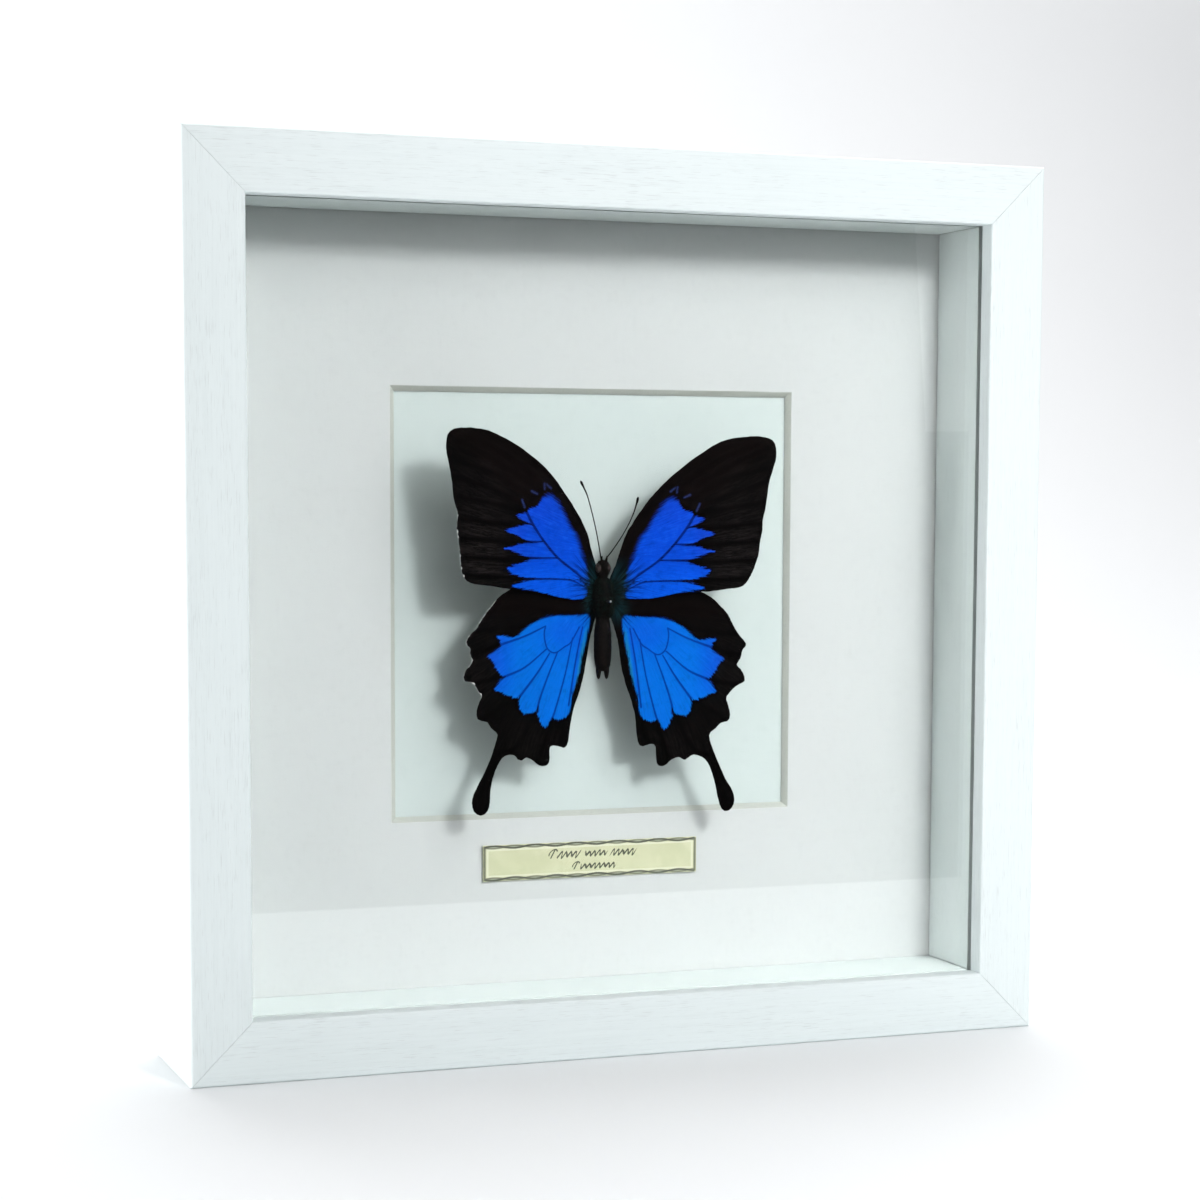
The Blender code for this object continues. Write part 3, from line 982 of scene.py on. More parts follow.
@dataclass(frozen=True)
class Hair:
    """Fine hair whose colour is stored on it, from black to blue-green, paler at its tips."""

    name: str = "body_hair"
    tints: Stops = (
        (0, (0.0008, 0.0006, 0.0005)), (0.45, (0.0024, 0.0021, 0.0015)), (0.75, (0.0035, 0.016, 0.013)),
        (1.0, (0.012, 0.055, 0.062)))
    tip: Colour = (0.008, 0.010, 0.007)

    def material(self) -> Material:
        """Builds the hair's colour from what is stored on each strand.

        Returns:
            The material.
        """
        g = Graph(self.name)
        grain = g.noise(g.place(), 2500.0, 2.0)
        base = g.ramp(g.stored("tint"), self.tints)
        base = g.blend(g.stored("reach").step(0.4, 1.0) * 0.35 * grain, base, self.tip)
        g.principled(Base_Color=base, Roughness=0.55 + 0.2 * grain, Specular_IOR_Level=0.07)
        return g.material


@dataclass(frozen=True)
class EyeSkin:
    """Dark brown compound eye with its tiny facets."""

    name: str = "compound_eye"
    dark: Colour = (0.010, 0.006, 0.005)
    light: Colour = (0.035, 0.018, 0.014)

    def material(self) -> Material:
        """Builds glossy brown with a facet relief.

        Returns:
            The material.
        """
        g = Graph(self.name)
        p = g.place()
        facet = g.cells(p, 9000.0)
        cloud = g.noise(p, 600.0, 2.0)
        g.principled(
            Base_Color=g.blend(cloud.step(0.3, 0.7), self.dark, self.light),
            Roughness=0.18 + 0.25 * facet, Specular_IOR_Level=0.5)
        g.bumped(facet, 0.00003, 0.6)
        return g.material


@dataclass(frozen=True)
class EnamelledPin:
    """Black enamelled steel wire, bare and bright where it is cut."""

    name: str = "black_enamelled_pin"
    enamel: Colour = (0.012, 0.012, 0.013)
    steel: Colour = (0.40, 0.41, 0.42)

    def material(self) -> Material:
        """Builds worn enamel that ends at the cut.

        Returns:
            The material.
        """
        g = Graph(self.name)
        worn = g.noise(g.place(), 1500.0, 3.0)
        cut = 1.0 - (g.stored("reach") + (worn - 0.5) * 0.05).step(0.26, 0.32)
        g.principled(
            Base_Color=g.blend(cut, self.enamel, self.steel), Metallic=cut * 0.6,
            Roughness=0.30 + 0.2 * worn, Specular_IOR_Level=0.3)
        return g.material


@dataclass(frozen=True)
class Ground:
    """Plain pale studio floor."""

    name: str = "pale_floor"
    cool: Colour = (0.86, 0.875, 0.89)
    white: Colour = (0.89, 0.90, 0.91)

    def material(self) -> Material:
        """Builds a barely mottled matt white.

        Returns:
            The material.
        """
        g = Graph(self.name)
        cloud = g.noise(g.place(), 3.0, 2.0)
        g.principled(Base_Color=g.blend(cloud, self.cool, self.white), Roughness=0.55 + 0.1 * cloud)
        return g.material


# ---- frame


def dress(node: str, material: Material) -> None:
    """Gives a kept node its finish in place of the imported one.

    Args:
        node: its name.
        material: its finish.
    """
    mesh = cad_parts[node].data
    mesh.materials.clear()
    mesh.materials.append(material)


def hand_in(piece: Object, slot: str, *nodes: str) -> Object:
    """Fixes a finished piece in the frame and lets it stand for its nodes.

    Args:
        piece: the finished object.
        slot: not used.
        nodes: the nodes it stands for.

    Returns:
        The piece.
    """
    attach(piece, "root")
    if nodes:
        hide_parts(*nodes)
    LOG.info("%s: %d faces", piece.name, len(piece.data.polygons))
    return piece


def turned(points: Array, place: Place) -> Array:
    """Turns points about the frame's middle to their own side.

    Args:
        points: N by 3: along the side, depth, inset from the edge.
        place: the side.

    Returns:
        N by 3 positions.
    """
    angle = place.value * math.pi / 2
    along, depth, inset = points.T
    across = inset - MIDDLE
    x = along * math.cos(angle) - across * math.sin(angle)
    z = along * math.sin(angle) + across * math.cos(angle)
    return np.stack([x, depth + FRONT_Y, z + MIDDLE], axis=-1)


@dataclass
class FrameRails:
    """Four mitred rails of painted wood with softly rounded front edges."""

    face: float = 16.8
    lip: float = 6.1
    wall: float = 10.0
    outer_round: float = 0.9
    inner_round: float = 0.6
    mitre_gap: float = 0.05
    notch_half: float = 26.0
    notch_high: float = 7.2
    notch_deep: float = 2.8
    arris: float = 0.02
    grain_shift: Pair = (613.0, 171.0)

    def profile(self) -> Array:
        """The section as (inset, depth), with quarter rounds of nine points; it ends with the back edge.

        Returns:
            The section's points.
        """
        quarter = np.linspace(0, math.pi / 2, 9)
        r, q = self.outer_round, self.inner_round
        outer = np.stack([r - r * np.cos(quarter), r - r * np.sin(quarter)], axis=-1)
        inner = np.stack([self.face - q + q * np.sin(quarter), q - q * np.cos(quarter)], axis=-1)
        flat = np.stack([np.linspace(r, self.face - q, 12)[1:-1], np.zeros(10)], axis=-1)
        side = np.stack([np.zeros(12), np.linspace(DEPTH, r, 13)[:-1]], axis=-1)
        soft = [(self.face, self.lip - 0.25), (self.face - 0.25, self.lip)]
        low, high = self.wall - self.notch_high, self.wall
        back = [
            (self.wall, self.lip), (high, DEPTH - self.arris), (high - self.arris, DEPTH),
            (low + self.arris, DEPTH), (low, DEPTH)]
        return np.vstack([side, outer, flat, inner, soft, back])

    def rail(self, place: Place) -> Patch:
        """Carries the section along one side; every point runs to the mitre, at 45 degrees to the side.

        Args:
            place: the side.

        Returns:
            The rail.
        """
        section = self.profile()
        count = len(section)
        inner = np.linspace(-0.97, 0.97, 60)
        notch = self.notch_half / MIDDLE
        beside = notch + 1e-4
        stations = np.sort(np.concatenate(([-1, 1, -beside, -notch, notch, beside], inner)))
        reach = MIDDLE - self.mitre_gap - section[:, 0]
        depth = np.tile(section[:, 1], (len(stations), 1))
        inset = np.tile(section[:, 0], (len(stations), 1))
        drawn_in = np.clip((np.abs(stations) - 0.25) / 0.75, 0, 1)[:, None]
        along = stations[:, None] * (MIDDLE - (MIDDLE - reach) * drawn_in)
        if place is Place.TOP:
            within = np.abs(stations) <= notch
            depth[np.ix_(within, [count - 3, count - 2])] -= self.notch_deep
            depth[within, count - 4] -= self.notch_deep
        wander = 0.035 * np.sin(along * 0.083 + place.value * 2.1)
        wander = wander + 0.02 * np.sin(along * 0.31 + place.value)
        near_front = (depth < 1.0) & (inset > 1.0)
        depth = depth + np.where(near_front, 0.03 + wander * 0.5, 0.0)
        edge = np.abs(inset - self.face) < 0.8
        inset = np.where(edge, inset + wander * 0.6, inset)
        points = turned(np.stack([along, depth, inset], axis=-1).reshape(-1, 3), place)
        run = np.concatenate(([0], np.cumsum(np.hypot(*np.diff(section, axis=0).T))))
        shift = place.value * np.array(self.grain_shift)
        uv = np.stack([along.ravel() + shift[0], np.tile(run, len(stations)) + shift[1]], axis=-1)
        quads = grid_faces(len(stations), count, wrap_columns=True)
        first = np.arange(count)[None, ::-1]
        last = np.arange(count)[None, :] + (len(stations) - 1) * count
        return Patch(points, [quads[:, ::-1], first[:, ::-1], last[:, ::-1]], uv=uv)

    def build(self) -> None:
        """Builds and paints the four rails."""
        paint = PaintedWood().material()
        for place in Place:
            piece = build_piece("painted_rail_" + place.word, [self.rail(place)], [paint])
            sharpen(piece, 35.0)
            hand_in(piece, "frame_paint", "frame_rail_" + place.word)


def sharpen(piece: Object, degrees: float) -> None:
    """Marks edges sharper than this angle, so that smooth shading stops at them."""
    piece.data.set_sharp_from_angle(angle=math.radians(degrees))


@dataclass
class WindowMat:
    """White card with a bevelled window; its edges are eased by a tenth of a millimetre."""

    half: float = 114.7
    wide: float = 60.8
    high: float = 61.0
    front: float = 33.5
    thick: float = 1.5
    ease: float = 0.10
    side_points: int = 24
    white: Colour = (0.575, 0.592, 0.592)
    white_shade: Colour = (0.55, 0.567, 0.567)
    # The bevel's core colours are darkened grey as painted shade, standing for the shade on the top and right
    # bevels; all four bevels get the same grey.
    core: Colour = (0.46, 0.475, 0.44)
    core_shade: Colour = (0.41, 0.425, 0.39)

    def loop(self, wide: float, high: float, depth: float) -> Array:
        """A rectangle about the frame's middle.

        Args:
            wide: half its width.
            high: half its height.
            depth: its depth.

        Returns:
            Its points.
        """
        t = np.linspace(-1, 1, self.side_points, endpoint=False)
        one = np.ones(self.side_points)
        x = np.concatenate([t, one, -t, -one]) * wide
        z = np.concatenate([-one, t, one, -t]) * high
        return np.stack([x, np.full(4 * self.side_points, depth + FRONT_Y), z + MIDDLE], axis=-1)

    def build(self) -> None:
        """Carries the card's section round the window, with the bevel in its own finish."""
        e, front, back = self.ease, self.front, self.front + self.thick
        face = [
            (self.half, front), (self.half * 0.75, front), (self.wide + 3 * e, front),
            (self.wide + e, front + 0.2 * e), (self.wide - 0.2 * e, front + e)]
        slope = [
            (self.wide - 0.2 * e, front + e), (self.wide - 0.75, front + 0.75),
            (self.wide - 1.5 + 0.05, back - 0.05), (self.wide - 1.5, back)]
        rear = [(self.wide - 1.5, back), (self.half, back), (self.half, front)]
        patches = []
        for slot, rings in enumerate((face, slope, rear)):
            taller = [self.high - self.wide if r < self.half * 0.7 else 0.0 for r, _ in rings]
            loops = [self.loop(r, r + more, d) for (r, d), more in zip(rings, taller)]
            faces = grid_faces(len(rings), 4 * self.side_points, wrap_columns=True)
            patches.append(Patch(np.vstack(loops), [faces], slot=slot % 2))
        # The bevel's core card is darkened grey as painted shade.
        piece = build_piece("bevelled_mat", patches, [
            Card("white_mat_card", self.white, self.white_shade).material(),
            Card("mat_core", self.core, self.core_shade, fibre=1800.0).material()])
        weld(piece)
        sharpen(piece, 20.0)
        hand_in(piece, "mat_card", "window_mat")


def weld(piece: Object) -> None:
    """Merges points that lie on each other, so that patches close into one surface.

    Args:
        piece: the piece.
    """
    made = bmesh.new()
    made.from_mesh(piece.data)
    bmesh.ops.remove_doubles(made, verts=made.verts, dist=WELD_REACH)
    made.to_mesh(piece.data)
    made.free()


@dataclass
class PrintedCard:
    """The name card: thin cream card, slightly sprung away from the mat at its ends."""

    wide: float = 65.4
    high: float = 10.3
    thick: float = 0.28
    middle: Pair = (-1.5, 51.4)
    back: float = 33.2
    spring: float = 0.35
    columns: int = 61
    rows: int = 9
    edge: Colour = (0.80, 0.79, 0.58)
    edge_shade: Colour = (0.74, 0.72, 0.50)

    def build(self) -> None:
        """Lays front and back grids whose depth falls with the square of the distance from the middle."""
        u = np.linspace(0, 1, self.columns)
        v = np.linspace(0, 1, self.rows)
        grid_v, grid_u = np.meshgrid(v, u)
        bow = self.spring * (2 * grid_u - 1) ** 2 + 0.05 * np.sin(grid_u * 9.0) * (grid_v - 0.5)
        x = self.middle[0] + (grid_u - 0.5) * self.wide
        z = self.middle[1] + (grid_v - 0.5) * self.high
        patches = []
        uv = np.stack([grid_u.ravel() * self.wide, grid_v.ravel() * self.high], axis=-1)
        for slot, lift in ((0, self.thick), (1, 0.0)):
            points = np.stack([x, self.back - lift - bow + FRONT_Y, z], axis=-1).reshape(-1, 3)
            faces = grid_faces(self.columns, self.rows)
            patches.append(Patch(points, [faces if slot == 0 else faces[:, ::-1]], uv=uv, slot=slot))
        rim = grid_rim(self.columns, self.rows)
        points = np.vstack([patches[0].points[rim], patches[1].points[rim]])
        band = grid_faces(2, len(rim), wrap_columns=True)[:, ::-1]
        patches.append(Patch(points, [band], uv=np.vstack([uv[rim], uv[rim]]), slot=1))
        edge = Card("card_edge", self.edge, self.edge_shade).material()
        piece = build_piece("printed_name_card", patches, [NameCard().material(), edge])
        weld(piece)
        sharpen(piece, 30.0)
        hand_in(piece, "label_card", "name_label")


@dataclass
class Backing:
    """What closes the frame at the back: board, panel, pushed-in tabs and the hanger with its nails."""

    tab_front: float = 42.3
    tab_thick: float = 0.5
    tab_wide: float = 10.0
    tab_inset: Pair = (5.0, 16.5)
    tab_along: float = 62.0
    nail_x: float = 19.0
    nail_z: float = 244.0
    nail_depths: Pair = (35.5, 43.6)
    nail_shank: float = 0.6
    nail_head: float = 1.5
    head_thick: float = 0.3
    dome_high: float = 0.55
    nail_sides: int = 24
    tab_rows: int = 22
    tab_columns: int = 13
    paper: Colour = (0.555, 0.617, 0.607)
    paper_shade: Colour = (0.535, 0.597, 0.587)

    def tab(self, place: Place, end: int) -> Patch:
        """A strip that ends in a quarter ellipse each side of its free end, and bows towards the panel.

        Args:
            place: the side.
            end: which end of the side, -1 or 1.

        Returns:
            The tab.
        """
        t = np.linspace(0, 1, self.tab_rows)
        w = np.linspace(-1, 1, self.tab_columns)
        grid_w, grid_t = np.meshgrid(w, t)
        rounding = np.clip((grid_t - 0.72) / 0.285, 0, 1)
        half = self.tab_wide / 2 * np.sqrt(np.clip(1 - rounding ** 2, 0.02, 1))
        along = end * self.tab_along + grid_w * half
        inset = self.tab_inset[0] + grid_t * (self.tab_inset[1] - self.tab_inset[0])
        bow = 0.18 * np.sin(grid_t * math.pi) + 0.15 * np.clip(grid_t - 0.85, 0, 1) * 4
        sheets = []
        for lift in (self.tab_thick + bow, bow):
            depth = self.tab_front + lift
            sheets.append(turned(np.stack([along, depth, inset], axis=-1).reshape(-1, 3), place))
        n = self.tab_rows * self.tab_columns
        top = grid_faces(self.tab_rows, self.tab_columns)
        rim = grid_rim(self.tab_rows, self.tab_columns)
        following = np.roll(rim, -1)
        side = np.stack([rim, rim + n, following + n, following], axis=-1)
        return Patch(np.vstack(sheets), [top, top[:, ::-1] + n, side])

    def nail(self, x: float) -> Patch:
        """A turned profile about the nail's own line: shank, then a low domed head.

        Args:
            x: X of its line.

        Returns:
            The nail.
        """
        first, last = self.nail_depths
        under, rim = last - 0.02, last + self.head_thick
        head = [(under, self.nail_head), (rim, self.nail_head)]
        for a in np.linspace(0, 1, 7)[1:] * 1.5:
            head.append((rim + self.dome_high * math.sin(a), self.nail_head * math.cos(a)))
        profile = np.array([(first, 0.05), (first + 1.2, self.nail_shank), (under, self.nail_shank), *head])
        sides = self.nail_sides
        angle = 2 * np.pi * np.arange(sides) / sides
        y = np.broadcast_to(profile[:, :1] + FRONT_Y, (len(profile), sides))
        rings = np.stack([
            x + profile[:, 1:2] * np.cos(angle), y, self.nail_z + profile[:, 1:2] * np.sin(angle)], axis=-1)
        faces = grid_faces(len(profile), sides, wrap_columns=True)
        return Patch(rings.reshape(-1, 3), [faces, *fan_caps(len(profile), sides)])

    def build(self) -> None:
        """Dresses the kept sheets and builds the tabs and nails."""
        dress("mount_board", Card("mount_paper", self.paper, self.paper_shade, fibre=600.0).material())
        dress("backing_panel", Hardboard().material())
        steel = SheetSteel("sheet_steel", (0.62, 0.63, 0.64), (0.36, 0.36, 0.36)).material()
        plate = SheetSteel("plated_hanger", (0.72, 0.66, 0.48), (0.42, 0.36, 0.24), 0.26).material()
        dress("hanger_plate", plate)
        for place in Place:
            for number, end in enumerate((-1, 1), 1):
                name = f"{place.word}_{number}"
                piece = build_piece("bent_tab_" + name, [self.tab(place, end)], [steel])
                sharpen(piece, 40.0)
                hand_in(piece, "tab_steel", "retaining_tab_" + name)
        for hand in Hand:
            piece = build_piece("domed_nail_" + hand.word, [self.nail(-hand.value * self.nail_x)], [plate])
            sharpen(piece, 40.0)
            hand_in(piece, "hanger_metal", "hanger_nail_" + hand.word)


# ---- wings


# Outlines as (outward from the hinge, height) in millimetres.
FORE_LEFT: Points = (
    (2.2, 134), (4.4, 141.6), (5.3, 144.9), (8, 150), (11.5, 155), (15.5, 160.1), (20.6, 165),
    (28.3, 170), (35, 173), (40, 174), (45.2, 174), (47.6, 173.2), (48.8, 171.6), (49.1, 168.2),
    (48.5, 165), (47.5, 160.2), (46.9, 155.2), (45.9, 151.6), (45.8, 150.4), (46, 146.7), (45.5, 143.6),
    (45.1, 140.2), (44.8, 136.7), (44.1, 133.9), (42.6, 132.3), (40.2, 131.5), (36, 131), (30, 130.1),
    (25, 129.6), (20, 128.8), (15, 127.6), (10, 126.8), (5.6, 126.9), (2.4, 127.6))
FORE_RIGHT: Points = (
    (1.2, 131.6), (3.3, 137), (4.6, 141), (6.2, 145.2), (9.2, 150.1), (12.8, 155), (17.4, 160),
    (23.4, 165), (30.5, 169.9), (35, 171.7), (39, 172.4), (43.6, 172.6), (46.6, 172), (48, 170.8),
    (48.5, 168.6), (48.3, 165.8), (46.7, 160.3), (46.1, 156.6), (45.5, 152.2), (44.8, 149), (44.7, 146),
    (44, 142.2), (43.7, 139.4), (42.6, 135.8), (41.5, 133.3), (40.1, 131.1), (38.4, 130), (34.9, 129.5),
    (30.5, 128.9), (25, 128.6), (21, 128.4), (17, 127.5), (13, 126.9), (9.5, 126.8), (5.2, 127),
    (1.2, 127.8))
HIND_LEFT: Points = (
    (2.4, 126.9), (8, 129.4), (15, 131), (22, 131.3), (27, 130.5), (31.4, 128.3), (33.6, 126.1),
    (35.8, 123.5), (37.6, 121), (38.5, 119.2), (40.4, 117.6), (41.6, 115.6), (41, 114.2), (40.3, 113.6),
    (40.4, 112.2), (39.8, 110.2), (40.5, 108.9), (41.6, 107.6), (42.2, 106), (41.6, 104.6), (40.2, 104.3),
    (38.8, 103.2), (37.8, 101.5), (36.9, 100.2), (37.5, 98.4), (38.1, 96.2), (37.9, 94.2), (36.6, 93.4),
    (35, 93), (33.8, 91.4), (32.4, 90.2), (31.8, 89.3), (32.4, 86.8), (33.5, 83.6), (35.3, 79.6),
    (37.1, 76.1), (38.7, 73), (39.3, 70.6), (38.8, 68.3), (37.6, 67.2), (36.4, 66.9), (35, 67.6),
    (34.1, 69.4), (33.8, 73), (33.2, 76.5), (32.1, 79.7), (30.8, 82.1), (29.8, 83.1), (28.2, 83.6),
    (26.5, 83.3), (25.5, 82.2), (24.2, 81.9), (23, 82.6), (21.2, 81.9), (19.6, 80.6), (18, 80),
    (16.4, 80.4), (15.8, 82), (15.9, 84.7), (15.1, 85.7), (13, 85.4), (11.3, 85), (10.3, 86.3),
    (9.8, 89.6), (9.1, 94.3), (8, 97.9), (6.6, 101.5), (5.5, 106), (4.6, 111), (3.7, 117),
    (2.4, 122.6))
HIND_RIGHT: Points = (
    (1.2, 126.4), (8, 128.6), (15, 130), (22, 130.3), (27, 129.3), (31.4, 127.1), (34.4, 124.5),
    (36.6, 122.2), (38, 119.7), (40, 116.5), (41.6, 114.7), (42.3, 113.3), (41.2, 111.8), (40.8, 109.7),
    (39.8, 107.7), (41, 106.3), (42, 104.6), (42.1, 102.9), (40.5, 102), (39.1, 101.1), (37.5, 99.3),
    (36.9, 98), (37.5, 96.1), (38.1, 93.5), (37.5, 91.6), (35.3, 90.9), (33.9, 89.4), (32.4, 88.2),
    (32.2, 86.5), (33.5, 82.8), (35.7, 77.9), (37.5, 74.3), (39.4, 71.1), (39.9, 68.4), (39.1, 66.2),
    (37.5, 65.3), (36, 66.3), (34.9, 69.3), (34.1, 73.4), (32.8, 77.5), (31.4, 80), (29.8, 81.3),
    (27.5, 81.9), (26.2, 81.3), (24.8, 80.5), (23, 81.3), (20.7, 80.5), (19.6, 79.4), (18, 78.8),
    (16.7, 79.6), (16.3, 82), (16.1, 84.5), (15, 85.3), (13.5, 85), (12.1, 84.7), (11, 85.7),
    (10.4, 88.8), (9.9, 93.3), (8.5, 98.4), (6.9, 102.9), (5.5, 108.4), (4.4, 115.2), (2.4, 120.6),
    (1.2, 123.2))


@dataclass
class Stroke:
    """A line on a wing with the half width it has at its start and end."""

    line: Points
    start: float
    end: float

    def edge_distance(self, points: Array) -> Array:
        """Distance from the stroke's edge, negative on it."""
        distance, where = line_distance(points, curve_through(self.line, 4))
        return distance - (self.start + (self.end - self.start) * where)


def border_edges(faces: Sequence[Array], count: int) -> Array:
    """The edges that only one face has, each in the direction that its face runs.

    Args:
        faces: arrays of faces over the same points.
        count: how many points there are.

    Returns:
        M by 2 indices.
    """
    edges = np.concatenate([np.stack([f, np.roll(f, -1, axis=1)], axis=-1).reshape(-1, 2) for f in faces])
    code = edges.min(axis=1) * count + edges.max(axis=1)
    _, back, times = np.unique(code, return_inverse=True, return_counts=True)
    return edges[times[back] == 1]


@dataclass
class Wing:
    """One wing: a sheet over its outline, with what its scales need stored on its points.

    Positions are (outward from the hinge, height) in millimetres. The pattern is drawn for the left wing,
    and the right wing reads it through its own small stretch and shear.
    """

    hand: Hand
    name: str
    outline: Points
    ripple_shift: float
    hinge: float = -2.3
    spacing: float = 0.2
    thick: float = 0.11
    rib_high: float = 0.13

    def blue_fields(self) -> list[Points]:
        """Outlines of the blue."""
        raise NotImplementedError

    def veins(self) -> list[Stroke]:
        """Veins that darken the blue."""
        raise NotImplementedError

    def ribs(self) -> list[Points]:
        """Lines that stand up from the sheet."""
        raise NotImplementedError

    def drawn(self, points: Array) -> Array:
        """Where this wing's points lie on the left wing's drawing."""
        raise NotImplementedError

    def depth(self, points: Array) -> Array:
        """Depth of the sheet from the frame's front face."""
        raise NotImplementedError

    def marks(self, points: Array, drawn: Array, inside: Array) -> dict[str, Array]:
        """The wing's own stored numbers."""
        raise NotImplementedError

    def joins(self, drawn: Array) -> Array:
        """How far the blue fields grow towards each other, where only a vein parts them."""
        return np.zeros(len(drawn))

    def sheet(self) -> tuple[Array, list[Array], Array]:
        """A square grid over the outline, its border points moved on to it.

        Returns:
            The points, the faces, and each point's distance inside the outline.
        """
        edge = curve_through(self.outline, 6, closed=True)
        run = np.concatenate(([0], np.cumsum(np.hypot(*np.diff(edge, axis=0).T))))
        ripple = 0.05 * np.sin(run * 5.1 + self.ripple_shift) + 0.04 * np.sin(run * 8.7 + 2.0)
        normal = np.gradient(edge, axis=0)[:, ::-1] * (1, -1)
        normal /= np.linalg.norm(normal, axis=1, keepdims=True)
        edge = edge + normal * ripple[:, None]
        h = self.spacing
        low, high = edge.min(axis=0) - h, edge.max(axis=0) + h
        across = np.arange(low[0], high[0] + h, h)
        up = np.arange(low[1], high[1] + h, h)
        grid = np.stack(np.meshgrid(across, up), axis=-1).reshape(-1, 2)
        inside, near = outline_distance(grid, edge)
        snap = np.abs(inside) < 0.5 * h
        grid[snap] = near[snap]
        keep = inside > -0.5 * h
        quads = grid_faces(len(up), len(across))
        good = keep[quads]
        whole = quads[good.all(axis=1)]
        partial = good.sum(axis=1) == 3
        three = quads[partial][good[partial]].reshape(-1, 3)
        used = np.unique(np.concatenate([whole.ravel(), three.ravel()]))
        order = np.full(len(grid), -1)
        order[used] = np.arange(len(used))
        return grid[used], [order[whole], order[three]], np.maximum(inside[used], 0.0)

    def relief(self, drawn: Array, inside: Array) -> tuple[Array, Array]:
        """Ribs over the veins and pleats between them.

        Args:
            drawn: points on the left wing's drawing.
            inside: distance inside the outline.

        Returns:
            How far the sheet comes forward, and the distance from the nearest vein.
        """
        ribs = np.zeros(len(drawn))
        nearest = np.full(len(drawn), FAR)
        for rib in self.ribs():
            distance, where = line_distance(drawn, curve_through(rib, 4))
            nearest = np.minimum(nearest, distance)
            ribs = np.maximum(ribs, np.exp(-((distance / 0.28) ** 2)) * (1 - 0.75 * where))
            ribs = np.maximum(ribs, 0.9 * np.exp(-((distance / 1.4) ** 2)) * (1 - 0.3 * where))
        return self.rib_high * ribs * smooth_step(inside, 0.0, 2.0), nearest

    def build(self, materials: Sequence[Material]) -> None:
        """Builds the upper and under sheets and the rim between them.

        Args:
            materials: the finishes of the upper side and the underside.
        """
        flat, faces, inside = self.sheet()
        drawn = self.drawn(flat)
        raised, rib = self.relief(drawn, inside)
        depth = self.depth(flat) - raised
        x = self.hinge + self.hand.value * flat[:, 0]
        top = np.stack([x, depth + FRONT_Y, flat[:, 1]], axis=-1)
        if self.hand is Hand.LEFT:
            faces = [f[:, ::-1] for f in faces]
        n = len(top)
        thick = self.thick * (0.35 + 0.65 * smooth_step(inside, 0.0, 1.5))
        under = top + np.stack([0 * thick, thick, 0 * thick], axis=-1)
        border = border_edges(faces, n)
        rim = np.stack([border[:, 1], border[:, 0], border[:, 0] + n, border[:, 1] + n], axis=-1)
        fields = [curve_through(f, 5, closed=True) for f in self.blue_fields()]
        stored = {
            "blue": self.joins(drawn) + np.max([outline_distance(drawn, f)[0] for f in fields], axis=0),
            "vein": np.min([stroke.edge_distance(drawn) for stroke in self.veins()], axis=0),
            "rib": rib,
            **self.marks(flat, drawn, inside),
        }
        both = {key: np.concatenate([value, value]) for key, value in stored.items()}
        upper = Patch(np.vstack([top, under]), [*faces, rim], both)
        # The underside has its own finish but no points of its own: counted from the end of the first
        # patch's points, its faces reach back to the last n of them.
        lower = Patch(np.zeros((0, 3)), [f[:, ::-1] - n for f in faces], slot=1)
        piece = build_piece(self.name + "_scaled", [upper, lower], materials)
        hand_in(piece, "wing_scales", self.name)


def polar(points: Array, centre: Pair, span: float) -> dict[str, Array]:
    """Streak coordinates: the angle about a centre times a span, and the distance from it."""
    away = points - np.array(centre)
    return {"across": np.arctan2(away[:, 1], away[:, 0]) * span, "along": np.hypot(*away.T)}


def blob(points: Array, centre: Pair, wide: float, high: float) -> Array:
    """A soft spot: e to the minus square of the distance over its two half widths."""
    return np.exp(-(((points[:, 0] - centre[0]) / wide) ** 2) - ((points[:, 1] - centre[1]) / high) ** 2)


def near_lines(points: Array, lines: Sequence[Points], half: float) -> Array:
    """One on the lines, falling to nothing at half a width away."""
    nearest = np.min([line_distance(points, np.array(line, dtype=float))[0] for line in lines], axis=0)
    return np.clip(1.0 - nearest / half, 0.0, 1.0)


def near_spots(points: Array, spots: Points, radius: float) -> Array:
    """One at the spots, falling to nothing at the radius."""
    return near_lines(points, [(spot, (spot[0] + 0.01, spot[1])) for spot in spots], radius)


